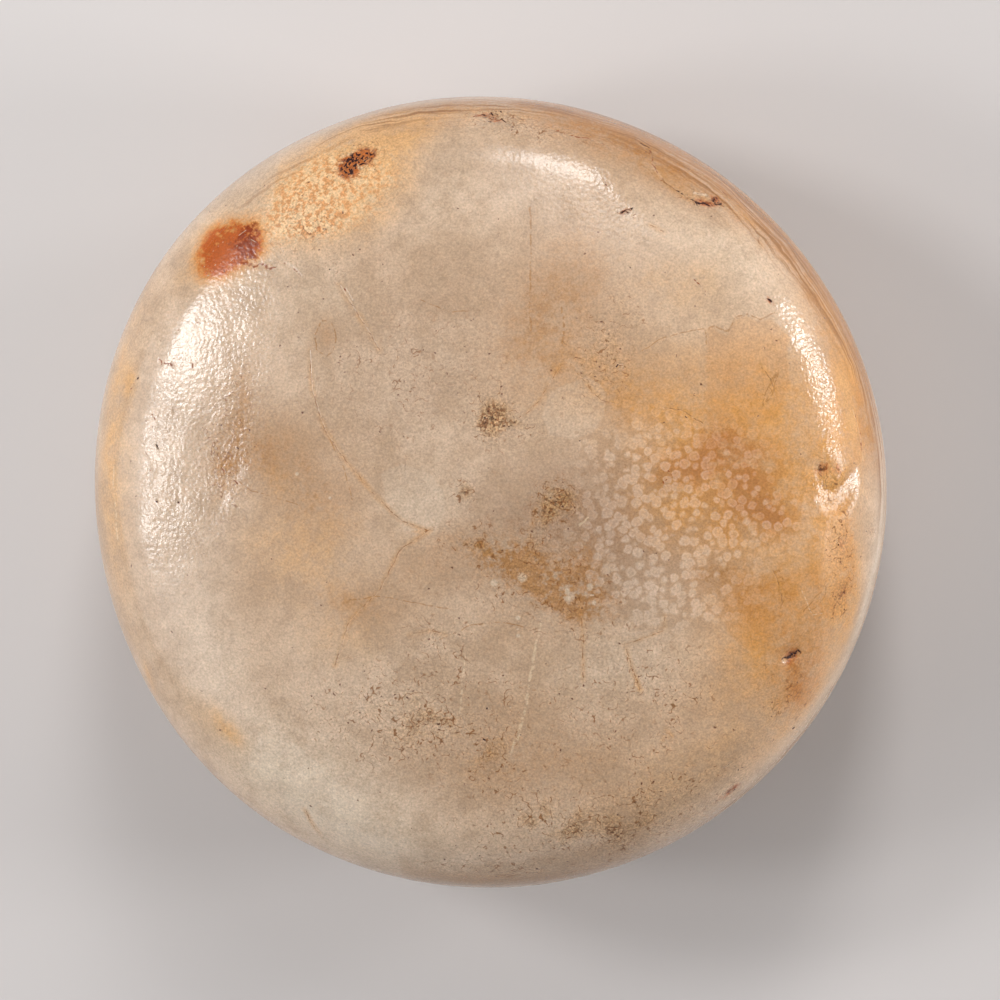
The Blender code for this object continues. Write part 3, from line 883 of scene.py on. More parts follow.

# %% [markdown]
# ## Dark specks, dirt with painted pit shade
# Small open pits hold dirt, and their near-black colour is also painted shade for the inside of each pit.
# A trail of one point makes a round speck.

# %% Dark specks and painted pit shade
DARK_SPECKS_AND_PIT_SHADE = (
    Mark(0.30, ((786, 659),)), Mark(0.34, ((792, 656),)), Mark(0.22, ((799, 652),)),
    Mark(0.15, ((822, 468),)), Mark(0.09, ((818, 470),)), Mark(0.16, ((793, 728),)),
    Mark(0.13, ((138, 378),)), Mark(0.09, ((156, 445), (158, 449))), Mark(0.13, ((157, 501),)),
    Mark(0.09, ((178, 502),)), Mark(0.07, ((630, 267),)), Mark(0.08, ((665, 272),)),
    Mark(0.07, ((705, 295),)), Mark(0.08, ((605, 185),)), Mark(0.12, ((845, 592),)),
    Mark(0.07, ((580, 441),)), Mark(0.06, ((669, 560),)), Mark(0.12, ((484, 740),)),
    Mark(0.11, ((487, 708),)), Mark(0.08, ((520, 735),)), Mark(0.11, ((738, 770),)),
    Mark(0.08, ((665, 733),)), Mark(0.13, ((735, 790),)), Mark(0.09, ((510, 707),)),
    Mark(0.06, ((567, 707),)), Mark(0.08, ((866, 531),)), Mark(0.12, ((485, 418),)),
    Mark(0.12, ((500, 428),)), Mark(0.12, ((550, 498),)), Mark(0.12, ((562, 506),)),
    Mark(0.07, ((330, 270),)), Mark(0.06, ((297, 402),)), Mark(0.07, ((281, 248),)),
    Mark(0.08, ((283, 251),)), Mark(0.10, ((842, 525),)), Mark(0.10, ((838, 545),)),
    Mark(0.10, ((844, 610),)), Mark(0.06, ((664, 408),)), Mark(0.05, ((685, 416), (688, 418))),
    Mark(0.10, ((770, 300),)), Mark(0.08, ((646, 152),)), Mark(0.11, ((815, 712), (806, 726))),
    Mark(0.10, ((834, 684), (826, 697))), Mark(0.10, ((790, 745), (781, 757))),
    Mark(0.09, ((640, 143), (650, 148))), Mark(0.08, ((724, 768), (732, 762))),
    Mark(0.07, ((676, 190), (688, 198), (699, 203))), Mark(0.13, ((697, 204), (703, 203), (708, 205))),
    Mark(0.12, ((713, 199), (717, 205), (722, 203))), Mark(0.10, ((714, 194), (716, 197))),
    Mark(0.10, ((480, 113), (485, 116))), Mark(0.11, ((491, 112), (493, 118))),
    Mark(0.09, ((500, 110), (502, 113))), Mark(0.07, ((500, 118), (507, 123), (513, 127))),
    Mark(0.07, ((487, 121), (491, 122))), Mark(0.10, ((621, 213), (626, 211))),
    Mark(0.12, ((630, 210), (632, 208))), Mark(0.06, ((622, 364), (623, 369))),
    Mark(0.06, ((616, 367), (619, 363))), Mark(0.06, ((600, 143), (604, 144))),
    Mark(0.10, ((768, 299), (772, 302))),
)
paint("speck_and_pit_shade_offset", offset_to(DARK_SPECKS_AND_PIT_SHADE), "FLOAT_VECTOR")

# %% [markdown]
# ## White dots and painted glints
# A few single ooids away from the crowd are pale dots. The short white marks in the jasper, the three dots
# in the spongy pit and the stroke above the crack at the upper right are painted glints: painted
# highlights in white.

# %% White dots and painted glints
WHITE_DOTS_AND_GLINTS = (
    Mark(0.46, ((522, 577),)), Mark(0.34, ((494, 583),)), Mark(0.32, ((590, 587),)),
    # from the mark at (238, 236) on, painted glints in the jasper
    Mark(0.30, ((568, 599),)), Mark(0.04, ((238, 236), (246, 230))),
    Mark(0.04, ((249, 238), (257, 243))), Mark(0.04, ((230, 262), (233, 259))),
    Mark(0.05, ((214, 266), (217, 264))), Mark(0.05, ((207, 276), (211, 275))),
    Mark(0.05, ((222, 243), (224, 241))), Mark(0.05, ((236, 247), (238, 245))),
    Mark(0.04, ((212, 253), (214, 250))), Mark(0.05, ((203, 268), (205, 266))),
    # painted glints in the spongy pit
    Mark(0.07, ((350, 160),)), Mark(0.07, ((359, 167),)), Mark(0.09, ((363, 152),)),
    # first a painted glint above the crack, then single ooids
    Mark(0.14, ((694, 193), (706, 195))), Mark(0.22, ((518, 618),)), Mark(0.20, ((518, 636),)),
    Mark(0.22, ((594, 603),)), Mark(0.16, ((330, 498),)), Mark(0.20, ((567, 590),)),
    Mark(0.18, ((297, 474),)),
)
paint("dot_and_glint_offset", offset_to(WHITE_DOTS_AND_GLINTS), "FLOAT_VECTOR")

# %% [markdown]
# ## Fine relief on the mesh
# Pecking left the surface lumpy, and grinding only took the tops off. Lumps of a few millimetres are real
# shape and move the mesh along its normals, and so are the deepest pits. Anything finer than the mesh's
# faces is left to the material.

# %% Lumps and pits
LUMP_SIZE = 2.4 * MM
LUMP_HEIGHT = 0.035 * MM
EVEN_HEIGHT = 0.004 * MM
MOST_PECKED = 1.2
SWELL_SIZE = 9 * MM
SWELL_HEIGHT = 0.02 * MM
CRACK_DIP = 0.02 * MM
CRACK_REACH = 12  # of a crack's half widths
PITS = (
    Blot(791, 656, 0.9, 0.7, 30, 0.35), Blot(350, 165, 0.7, 0.5, 40, 0.16),
    Blot(362, 156, 0.6, 0.4, 40, 0.14), Blot(822, 468, 0.5, 0.5, 0, 0.12),
    Blot(157, 500, 0.5, 0.4, 60, 0.06), Blot(157, 447, 0.5, 0.3, 60, 0.05),
    Blot(178, 502, 0.5, 0.4, 60, 0.05), Blot(160, 362, 0.5, 0.3, 60, 0.05),
    Blot(172, 366, 0.5, 0.3, 60, 0.05), Blot(152, 470, 0.5, 0.4, 60, 0.05),
    Blot(735, 790, 0.8, 0.5, 40, 0.12), Blot(845, 592, 0.8, 0.5, 60, 0.1),
    Blot(222, 500, 0.9, 0.5, 60, 0.06), Blot(238, 470, 0.8, 0.5, 70, 0.05),
    Blot(715, 202, 1.2, 0.4, -10, 0.12),
)


def bumpy(size, seed):
    """Smooth noise of about minus one to one, with lumps of the given size."""
    offset = Vector((seed, seed * 2, seed * 3))
    return np.array([noise.noise(Vector(p) / size + offset) for p in points])


rise = bumpy(LUMP_SIZE, 1) * (EVEN_HEIGHT + LUMP_HEIGHT * np.clip(pecked, 0, MOST_PECKED))
rise += bumpy(SWELL_SIZE, 2) * SWELL_HEIGHT
rise -= amount_of(PITS) * MM
rise -= swell(np.linalg.norm(crack_offset, axis=1) / CRACK_REACH) * CRACK_DIP
rise[on_flat_spot] = 0.0
points += normals * rise[:, None]
stone_mesh.vertices.foreach_set("co", points.ravel())
stone_mesh.update()
stone_mesh.shade_smooth()
print("relief, in mm:", np.round(np.array((rise.min(), rise.max())) / MM, 3))

# %% [markdown]
# ## The stone takes the solid's place
# The finished mesh becomes an object at the origin, because its points already lie where the stone lies. It
# rides on the part's body and replaces the plain solid. Its distance from the solid shows how faithful the
# finer form is.

# %% The stone
stone = bpy.data.objects.new("discoidal_stone", stone_mesh)
bpy.context.scene.collection.objects.link(stone)
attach(stone, "root")
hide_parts(NODE)
EVERY = 50  # points, between two that are measured
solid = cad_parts[NODE]
solid_tree = BVHTree.FromPolygons(
    [v.co for v in solid.data.vertices], [p.vertices for p in solid.data.polygons]
)
gaps = [solid_tree.find_nearest(Vector(p))[3] for p in points[::EVERY]]
print("largest distance from the solid, in mm:", round(max(gaps) / MM, 3))

# %% [markdown]
# ## The chert
# Chert is quartz in grains too fine to see, so it is smooth, waxy and a little translucent, with an IOR of
# 1.54. Ground by hand, it keeps a satin gloss. One material holds the whole finish, because on the real
# stone every stain runs into the next. The colours are given as sRGB hex values, as a picture editor shows
# them, and one function turns them to the linear values that light works with.

# %% Material and helpers
# Ground chert: a soft waxy shine over cloudy depths, and edges that let a little light through
material = bpy.data.materials.new("ground_chert")
material.use_nodes = True
tree = material.node_tree
shader = tree.nodes["Principled BSDF"]


def linear(colour):
    """An sRGB hex value as linear red, green, blue and alpha."""
    parts = [int(colour[i:i + 2], 16) / 255 for i in (1, 3, 5)]
    return (*(p / 12.92 if p <= 0.04045 else ((p + 0.055) / 1.055) ** 2.4 for p in parts), 1.0)


def add(kind, inputs=None, **settings):
    """Adds a node, with settings by name, and links or sets its inputs."""
    node = tree.nodes.new("ShaderNode" + kind)
    for name, value in settings.items():
        setattr(node, name, value)
    for socket, value in (inputs or {}).items():
        if isinstance(value, bpy.types.NodeSocket):
            tree.links.new(value, node.inputs[socket])
        else:
            node.inputs[socket].default_value = value
    return node.outputs


print("palest cream, as linear values:", [round(part, 3) for part in linear("#dccab4")[:3]])

# %% [markdown]
# ## Noises at real sizes
# The stone is uneven at several sizes at once: clouds of 9 mm, patches of 2 to 3 mm, grains and flecks. Each
# noise is made once and used again by every stain, so that stains break up in the same places, as they do in
# a real stone. The quartz grains of chert are far too fine to show. Grains and flecks are drawn as coarse
# as the picture needs to show them.

# %% Clouds, patches, grains and flecks
CLOUD_SIZE = 9  # mm, as are all sizes of noise
PATCH_SIZE = 2.6
GRAIN_SIZE = 0.55  # coarser than the real grains
FLECK_SIZE = 0.22  # coarser than the real grains
WANDER_SIZE = 0.9
here = add("TexCoord")["Object"]
mm = add("VectorMath", {0: here, "Scale": 1 / MM}, operation="SCALE")[0]
noise_of = {"Vector": mm, "Scale": 1 / CLOUD_SIZE, "Detail": 3, "Roughness": 0.55}
clouds = add("TexNoise", noise_of, normalize=False)[0]
noise_of = {"Vector": mm, "Scale": 1 / PATCH_SIZE, "Detail": 2, "Roughness": 0.5}
patches = add("TexNoise", noise_of, normalize=False)[0]
noise_of = {"Vector": mm, "Scale": 1 / GRAIN_SIZE, "Detail": 2, "Roughness": 0.6}
grains = add("TexNoise", noise_of, normalize=False)[0]
noise_of = {"Vector": mm, "Scale": 1 / FLECK_SIZE, "Detail": 1.5, "Roughness": 0.7}
flecks = add("TexNoise", noise_of, normalize=False)[0]
wander = add("TexNoise", {"Vector": mm, "Scale": 1 / WANDER_SIZE, "Detail": 1}, normalize=False)[1]
print("noises of", (CLOUD_SIZE, PATCH_SIZE, GRAIN_SIZE, FLECK_SIZE, WANDER_SIZE), "mm")

# %% [markdown]
# ## The ground colour
# Under its stains the stone is cream. Two shades of it follow the patches and clouds, with a trace of grain,
# because a single colour would look like plastic.

# %% Two shades of cream
GROUND_SHADES = ("#b99d82", "#ccb299")
PATCH_SHARE = 0.6
GRAIN_SHARE = 0.15
shade = add("Math", {0: patches, 1: PATCH_SHARE, 2: clouds}, operation="MULTIPLY_ADD")[0]
shade = add("Math", {0: grains, 1: GRAIN_SHARE, 2: shade}, operation="MULTIPLY_ADD")[0]
shade = add("MapRange", {0: shade, 1: -0.8, 2: 0.8}, interpolation_type="SMOOTHSTEP")[0]
darker, paler = (linear(colour) for colour in GROUND_SHADES)
colour = add("Mix", {0: shade, 6: darker, 7: paler}, data_type="RGBA")[2]
print("the ground runs from", *GROUND_SHADES)

# %% [markdown]
# ## Stains
# Each stain covers the colour below it as far as its painted amount says. The patches and grains raise and
# lower that amount, which frays the border. The broad pale stains come first, and the small strong ones lie
# on top, as rust soaks into stone that was cloudy before. The sugary patch takes three: a yellow ground,
# white grains where the grain noise is low, and orange ones where it is high.

# %% Stains, from the broad to the small
Stain = namedtuple("Stain", "name tint low high coarse fine most")
STAINS = (
    # tan, and painted shade along the bottom and upper right edges
    Stain("tan", "#ab8056", 0.0, 1.1, 0.5, 0.3, 0.9),
    Stain("cream", "#dccab4", 0.0, 1.3, 0.4, 0.3, 0.85),
    # golden brown on the rim, and painted shade along the top edge
    Stain("gold_rim_and_edge_shade", "#a2681f", 0.0, 1.15, 0.5, 0.3, 0.85),
    Stain("lilac", "#97785f", 0.0, 1.2, 0.6, 0.4, 0.8),
    Stain("ochre", "#c99150", 0.0, 1.15, 0.45, 0.2, 0.95),
    Stain("deep_ochre", "#ab6c34", 0.1, 1.1, 0.8, 0.4, 0.8),
    Stain("brown", "#a2703a", 0.0, 1.0, 1.0, 0.9, 0.8),
    Stain("amber", "#d0a26e", 0.1, 1.1, 0.6, 0.25, 0.8),
    Stain("sugar", "#e0ae78", 0.05, 1.2, 0.5, 0.3, 0.75),
    Stain("sugar", "#f1dcb8", 0.5, 1.9, 0.4, -2.4, 0.3),
    Stain("sugar", "#b66a34", 1.1, 2.2, 0.4, 3.0, 0.38),
)


def stained(below, stain):
    """The colour below with a stain, which starts at the low amount and is full at the high one."""
    amount = add("Attribute", attribute_name=stain.name)["Fac"]
    uneven = add("Math", {0: patches, 1: stain.coarse, 2: 1.0}, operation="MULTIPLY_ADD")[0]
    uneven = add("Math", {0: grains, 1: stain.fine, 2: uneven}, operation="MULTIPLY_ADD")[0]
    amount = add("Math", {0: amount, 1: uneven}, operation="MULTIPLY")[0]
    cover = add("MapRange", {0: amount, 1: stain.low, 2: stain.high, 4: stain.most})[0]
    return add("Mix", {0: cover, 6: below, 7: linear(stain.tint)}, data_type="RGBA")[2]


for stain in STAINS:
    colour = stained(colour, stain)
print("stains:", len(STAINS))

# %% [markdown]
# ## The crisp edges
# At the painted outlines the colour changes within a fraction of a millimetre. The patch noise lets the edge
# wander a little. Both tints cover only about a quarter or less, because the patches differ no more than
# that from their surroundings.

# %% Golden and pale patches show
EDGE_WANDER = 0.25  # mm
EDGE_START = -0.08  # mm
Patch = namedtuple("Patch", "name tint soft most")
PATCHES = (Patch("gold_patch", "#c08648", 0.3, 0.28), Patch("pale_patch", "#d9c8b4", 0.15, 0.17))
for patch in PATCHES:
    depth = add("Attribute", attribute_name=patch.name)["Fac"]
    depth = add("Math", {0: patches, 1: EDGE_WANDER, 2: depth}, operation="MULTIPLY_ADD")[0]
    cover = add("MapRange", {0: depth, 1: EDGE_START, 2: patch.soft, 4: patch.most})[0]
    colour = add("Mix", {0: cover, 6: colour, 7: linear(patch.tint)}, data_type="RGBA")[2]
print("crisp patches:", [patch.name for patch in PATCHES])

# %% [markdown]
# ## Ooids in cells
# A Voronoi texture scatters cells like close-packed grains, one ooid to each. The real ones are 0.8 to 1 mm
# across. The distance from a cell's middle runs through a ramp, which draws a pale core, a darker ring and a
# bright skin. Each cell also has a colour by chance. Its green makes some ooids smaller and its red makes
# some fainter, so that no two are quite alike.

# %% One ooid to a cell
OOID_SPACING = 0.95  # mm
OOID_NUDGE = 0.18  # mm, keeps them from being perfectly round
OOID_GIRTHS = (1.05, 0.75)
OOID_PROFILE = ((0.0, 0.9), (0.1, 0.62), (0.26, 0.66), (0.37, 1.0), (0.44, 0.5), (0.52, 0.0))
nudged = add("VectorMath", {0: wander, 1: (OOID_NUDGE,) * 3, 2: mm}, operation="MULTIPLY_ADD")[0]
cells = add("TexVoronoi", {"Vector": nudged, "Scale": 1 / OOID_SPACING, "Randomness": 0.9})
lot = add("SeparateColor", {0: cells["Color"]})
girth = add("MapRange", {0: lot["Green"], 3: OOID_GIRTHS[0], 4: OOID_GIRTHS[1]})[0]
from_middle = add("Math", {0: cells["Distance"], 1: girth}, operation="MULTIPLY")[0]
rings = add("ValToRGB", {0: from_middle})[0]
ramp = rings.node.color_ramp
for step, (at, value) in enumerate(OOID_PROFILE):
    stop = ramp.elements[step] if step < 2 else ramp.elements.new(at)
    stop.position = at
    stop.color = (value, value, value, 1)
print("stops in an ooid's ramp:", len(ramp.elements))

# %% [markdown]
# ## Where the ooids show
# The painted amount says how closely they are packed. Where they are dense, the ground between them also
# turns darker, and that makes them stand out more than any paler tint would.

# %% Ooids show
OOID_STRENGTH = 0.36
GROUND_STRENGTH = 0.3
density = add("Attribute", attribute_name="ooids")["Fac"]
density = add("Math", {0: patches, 1: 0.25, 2: density}, operation="MULTIPLY_ADD")[0]
shown = add("MapRange", {0: lot["Red"], 3: 0.45, 4: 1.0})[0]
shown = add("Math", {0: density, 1: shown}, operation="MULTIPLY")[0]
crowded = add("MapRange", {0: density, 1: 0.2, 2: 1.2})[0]
shown = add("MapRange", {0: shown, 1: 0.1, 2: 1.0})[0]
shown = add("Math", {0: shown, 1: rings}, operation="MULTIPLY")[0]
shown = add("Math", {0: shown, 1: OOID_STRENGTH}, operation="MULTIPLY")[0]
between = add("MapRange", {0: from_middle, 1: 0.42, 2: 0.62, 4: GROUND_STRENGTH})[0]
between = add("Math", {0: between, 1: crowded}, operation="MULTIPLY")[0]
colour = add("Mix", {0: between, 6: colour, 7: linear("#98765a")}, data_type="RGBA")[2]
colour = add("Mix", {0: shown, 6: colour, 7: linear("#dac4b2")}, data_type="RGBA")[2]
print("an ooid every", OOID_SPACING, "mm where they are packed")

# %% [markdown]
# ## Jasper in three coats
# The jasper spot goes from orange at its border over brick red to a dark core. Three stains with rising
# limits give that: the first reads the amount's low end, the second its high end, and the third the core's
# own amount.

# %% Jasper
JASPER_COATS = (
    Stain("jasper", "#d0862f", 0.08, 0.4, 0.6, 0.3, 0.7),
    Stain("jasper", "#ae521c", 0.3, 0.65, 0.5, 0.5, 0.95),
    Stain("dark_jasper", "#701e00", 0.25, 0.6, 0.6, 1.2, 0.7),
)
for stain in JASPER_COATS:
    colour = stained(colour, stain)
print("coats of jasper:", len(JASPER_COATS))

# %% [markdown]
# ## Veins, dots, painted glints and faint lines
# A mark shows where its painted offset is shorter than one half width. Noise makes its edge ragged, and the
# stone's grain leaves gaps in it, because no natural line runs evenly. Veins and dots are paler than the
# stone, and so are the painted glints and the painted line of rim light among them. The faint lines are a
# little browner.

# %% Pale marks, painted glints and faint lines
MARK_EDGE = (1.3, 0.7)  # half widths, where it starts and where it is full
GAP_SOFTNESS = 0.15


def marked(below, name, tint, ragged, whole, most=1.0):
    """The colour below with thin marks over it, where their painted offset is shorter than one.

    The lower the share that stays whole, the more gaps the stone's grain leaves in a mark.
    """
    offset = add("Attribute", attribute_name=name)["Vector"]
    offset = add("VectorMath", {0: wander, 1: (ragged,) * 3, 2: offset}, operation="MULTIPLY_ADD")[0]
    length = add("VectorMath", {0: offset}, operation="LENGTH")[1]
    cover = add("MapRange", {0: length, 1: MARK_EDGE[0], 2: MARK_EDGE[1], 4: most})[0]
    unbroken = add("MapRange", {0: grains, 1: -whole, 2: GAP_SOFTNESS - whole})[0]
    cover = add("Math", {0: cover, 1: unbroken}, operation="MULTIPLY")[0]
    return add("Mix", {0: cover, 6: below, 7: linear(tint)}, data_type="RGBA")[2]


# pale veins, and the painted line of rim light on the left edge
colour = marked(colour, "vein_and_rim_light_offset", "#dcc4a4", 1.2, 0.3, 0.5)
# pale dots, and painted glints
colour = marked(colour, "dot_and_glint_offset", "#d2bfa8", 0.2, 0.8, 0.6)
colour = marked(colour, "faint_offset", "#9c6c38", 1.4, 0.35, 0.55)
print("nodes so far:", len(tree.nodes))

# %% [markdown]
# ## Rust along the cracks
# Water carries iron into a crack, and rust creeps out from it into the stone. A wide weak halo around each
# crack comes first. The crack's own thin line and the rust marks go over it.

# %% Cracks and their rust
HALO_REACH = 9.0  # half widths of a crack
HALO_STRENGTH = 0.22
crack_way = add("Attribute", attribute_name="crack_offset")["Vector"]
crack_length = add("VectorMath", {0: crack_way}, operation="LENGTH")[1]
halo = add("MapRange", {0: crack_length, 1: HALO_REACH, 2: 1.0, 4: HALO_STRENGTH})[0]
uneven = add("Math", {0: patches, 1: 1.5, 2: 1.0}, operation="MULTIPLY_ADD")[0]
halo = add("Math", {0: halo, 1: uneven}, operation="MULTIPLY", use_clamp=True)[0]
colour = add("Mix", {0: halo, 6: colour, 7: linear("#c18a4a")}, data_type="RGBA")[2]
colour = marked(colour, "crack_offset", "#8a5c30", 2.0, 0.32, 0.75)
colour = marked(colour, "rust_offset", "#823f10", 2.2, 0.25, 0.95)
print("rust reaches", HALO_REACH, "half widths from a crack")

# %% [markdown]
# ## Layers cut by the rim
# A noise that is squeezed one way draws streaks. Here its height is the distance from the crown, so that the
# streaks run round the rim, a new one about every half millimetre, and stay alike for about 12 mm along it.
# Its dark bands are brown and its pale ones cream.

# %% Streaks along the rim
STREAK_SPACING = 0.5  # mm
STREAK_LENGTH = 12  # mm
STREAK_SWAY = 1.2  # mm
down = add("Attribute", attribute_name="from_crown")["Fac"]
down = add("Math", {0: clouds, 1: STREAK_SWAY, 2: down}, operation="MULTIPLY_ADD")[0]
squeezed = add("Math", {0: down, 1: 1 / STREAK_SPACING}, operation="MULTIPLY")[0]
drawn = add("CombineXYZ", {"Z": squeezed})[0]
stretch = (1 / STREAK_LENGTH, 1 / STREAK_LENGTH, 0.0)
drawn = add("VectorMath", {0: mm, 1: stretch, 2: drawn}, operation="MULTIPLY_ADD")[0]
noise_of = {"Vector": drawn, "Scale": 1.0, "Detail": 2, "Roughness": 0.6}
lines = add("TexNoise", noise_of, normalize=False)[0]
streaked = add("Attribute", attribute_name="streaked")["Fac"]
streaked = add("Math", {0: streaked, 1: 1.0}, operation="MINIMUM")[0]
dark_line = add("MapRange", {0: lines, 1: 0.05, 2: 0.4, 4: 0.75})[0]
dark_line = add("Math", {0: dark_line, 1: streaked}, operation="MULTIPLY")[0]
pale_line = add("MapRange", {0: lines, 1: -0.1, 2: -0.5, 4: 0.15})[0]
pale_line = add("Math", {0: pale_line, 1: streaked}, operation="MULTIPLY")[0]
colour = add("Mix", {0: dark_line, 6: colour, 7: linear("#85531f")}, data_type="RGBA")[2]
colour = add("Mix", {0: pale_line, 6: colour, 7: linear("#dccbb8")}, data_type="RGBA")[2]
print("a streak every", STREAK_SPACING, "mm")

# %% [markdown]
# ## Dirt threads and crust
# Dirt fills the finest lines between the grains first, as broken threads, and where it is thick it closes to
# a crust with gaps. A thread runs where a smooth noise passes through zero, so that it is thin and winding.
# The grains break it into short bits.

# %% Threads and crust
THREAD_COLOUR = linear("#7c4c1a")
CRUST_COLOUR = linear("#6a3808")
THREAD_SPACING = 1.2  # mm
HOLE_SPACING = 0.32  # mm, coarser than most real pores
TRACE_OF_DIRT = 0.06  # all over the stone
dirt = add("Attribute", attribute_name="dirt")["Fac"]
uneven = add("Math", {0: patches, 1: 1.2, 2: 1.0}, operation="MULTIPLY_ADD")[0]
dirt = add("Math", {0: dirt, 1: uneven, 2: TRACE_OF_DIRT}, operation="MULTIPLY_ADD")[0]
noise_of = {"Vector": mm, "Scale": 1 / THREAD_SPACING, "Detail": 1, "Roughness": 0.6}
threads = add("TexNoise", noise_of, normalize=False)[0]
threads = add("Math", {0: threads}, operation="ABSOLUTE")[0]
noise_of = {"Vector": mm, "Scale": 1 / HOLE_SPACING, "Detail": 1, "Roughness": 0.5}
holes = add("TexNoise", noise_of, normalize=False)[0]
threads = add("MapRange", {0: threads, 1: 0.08, 2: 0.03, 4: 0.8})[0]
broken = add("Math", {0: dirt, 1: 0.3, 2: grains}, operation="MULTIPLY_ADD")[0]
broken = add("MapRange", {0: broken, 1: 0.14, 2: 0.28})[0]
threads = add("Math", {0: threads, 1: broken}, operation="MULTIPLY")[0]
in_dirt = add("MapRange", {0: dirt, 1: 0.0, 2: 0.35})[0]
threads = add("Math", {0: threads, 1: in_dirt}, operation="MULTIPLY")[0]
crust = add("MapRange", {0: holes, 1: 0.0, 2: 0.12, 4: 0.75})[0]
thick_dirt = add("MapRange", {0: dirt, 1: 1.1, 2: 1.9})[0]
crust = add("Math", {0: crust, 1: thick_dirt}, operation="MULTIPLY")[0]
threads = add("Math", {0: threads, 1: crust}, operation="MAXIMUM")[0]
print("dirt threads about every", THREAD_SPACING, "mm")

# %% [markdown]
# ## Dark pores
# Single pores are open and hold dark dirt. Another Voronoi texture scatters them, and each cell draws a lot:
# its pore is open where the lot is below a limit that rises with the dirt. Then the dirt goes over the
# colour in three coats, a thin film, the threads and the pores.

# %% Pores, and the dirt's coats
PORE_COLOUR = linear("#5a2606")
PORE_SPACING = 0.6  # mm
OPEN_ANYWHERE = 0.01  # share of the pores that are open where the stone is clean
pores = add("TexVoronoi", {"Vector": nudged, "Scale": 1 / PORE_SPACING, "Randomness": 1.0})
pore_lot = add("SeparateColor", {0: pores["Color"]})["Red"]
open_pore = add("Math", {0: dirt, 1: 0.3, 2: OPEN_ANYWHERE}, operation="MULTIPLY_ADD")[0]
open_pore = add("Math", {0: pore_lot, 1: open_pore}, operation="LESS_THAN")[0]
from_pore = add("Math", {0: flecks, 1: 0.15, 2: pores["Distance"]}, operation="MULTIPLY_ADD")[0]
pore = add("MapRange", {0: from_pore, 1: 0.20, 2: 0.08, 4: 0.9})[0]
pore = add("Math", {0: pore, 1: open_pore}, operation="MULTIPLY")[0]
grime = add("Math", {0: pore, 1: threads}, operation="MAXIMUM")[0]
film = add("MapRange", {0: dirt, 1: 0.7, 2: 1.9, 4: 0.45})[0]
colour = add("Mix", {0: film, 6: colour, 7: linear("#a9814e")}, data_type="RGBA")[2]
thread_tint = add("Mix", {0: thick_dirt, 6: THREAD_COLOUR, 7: CRUST_COLOUR}, data_type="RGBA")[2]
colour = add("Mix", {0: threads, 6: colour, 7: thread_tint}, data_type="RGBA")[2]
colour = add("Mix", {0: pore, 6: colour, 7: PORE_COLOUR}, data_type="RGBA")[2]
print("a pore to every", PORE_SPACING, "mm, most of them closed")

# %% [markdown]
# ## Spongy pits and dark specks, with painted shade in the holes
# Inside the spongy pits the stone is rusty, and it is eaten through by holes. The holes' near-black is dirt
# and painted shade. The dark specks are single open pits, painted the same way. All of this lies over the
# stains, as nothing covers a hole.

# %% Holes in the sponge, and specks
SPONGE_RUST = Stain("sponge", "#a8541a", 0.2, 0.8, 0.5, 0.7, 0.85)
colour = stained(colour, SPONGE_RUST)
sponge = add("Attribute", attribute_name="sponge")["Fac"]
in_sponge = add("MapRange", {0: sponge, 1: 0.35, 2: 0.8})[0]
hole = add("MapRange", {0: holes, 1: 0.04, 2: 0.14})[0]
hole = add("Math", {0: hole, 1: in_sponge}, operation="MULTIPLY")[0]
# near-black holes: dirt, and painted shade inside them
colour = add("Mix", {0: hole, 6: colour, 7: linear("#2c0600")}, data_type="RGBA")[2]
# dark specks: dirt, and painted shade inside each pit
colour = marked(colour, "speck_and_pit_shade_offset", "#300a00", 1.3, 0.2, 1.0)
print("holes about every", HOLE_SPACING, "mm inside a spongy pit")

# %% [markdown]
# ## Grain over everything
# Close up, the stone shimmers between slightly lighter and darker grains, more so in the sugary patch and
# where it is dirty. All colours are scaled by one uneven number near one, which keeps their hue. Ghosts of
# ooids show in it all over the stone, as weak as they are on the real one.

# %% Grain
FLECK_STRENGTH = 0.2
GRAIN_STRENGTH = 0.06
PATCH_SHADES = (0.985, 1.015)
GHOST_STRENGTH = 0.05
strength = add("Math", {0: dirt, 1: 0.2, 2: FLECK_STRENGTH}, operation="MULTIPLY_ADD")[0]
sugary = add("Attribute", attribute_name="sugar")["Fac"]
strength = add("Math", {0: sugary, 1: 0.12, 2: strength}, operation="MULTIPLY_ADD", use_clamp=True)[0]
grain = add("Math", {0: flecks, 1: strength}, operation="MULTIPLY")[0]
grain = add("Math", {0: grains, 1: GRAIN_STRENGTH, 2: grain}, operation="MULTIPLY_ADD")[0]
shades = {0: patches, 1: -0.05, 2: 0.05, 3: PATCH_SHADES[0], 4: PATCH_SHADES[1]}
patch_shade = add("MapRange", shades)[0]
ghosts = add("Math", {0: rings, 1: GHOST_STRENGTH, 2: patch_shade}, operation="MULTIPLY_ADD")[0]
grain = add("Math", {0: grain, 1: ghosts}, operation="ADD")[0]
colour = add("VectorMath", {0: colour, "Scale": grain}, operation="SCALE")[0]
print("flecks change the colour by up to about", FLECK_STRENGTH)

# %% [markdown]
# ## Leathery relief
# In the highlights the surface looks like fine leather, from pecking that was ground but never polished
# away. Such relief is finer than the mesh, so a bump makes it. The height is in millimetres, and the Bump
# node's distance turns it to metres. Cracks, specks, rust marks and holes sink in.

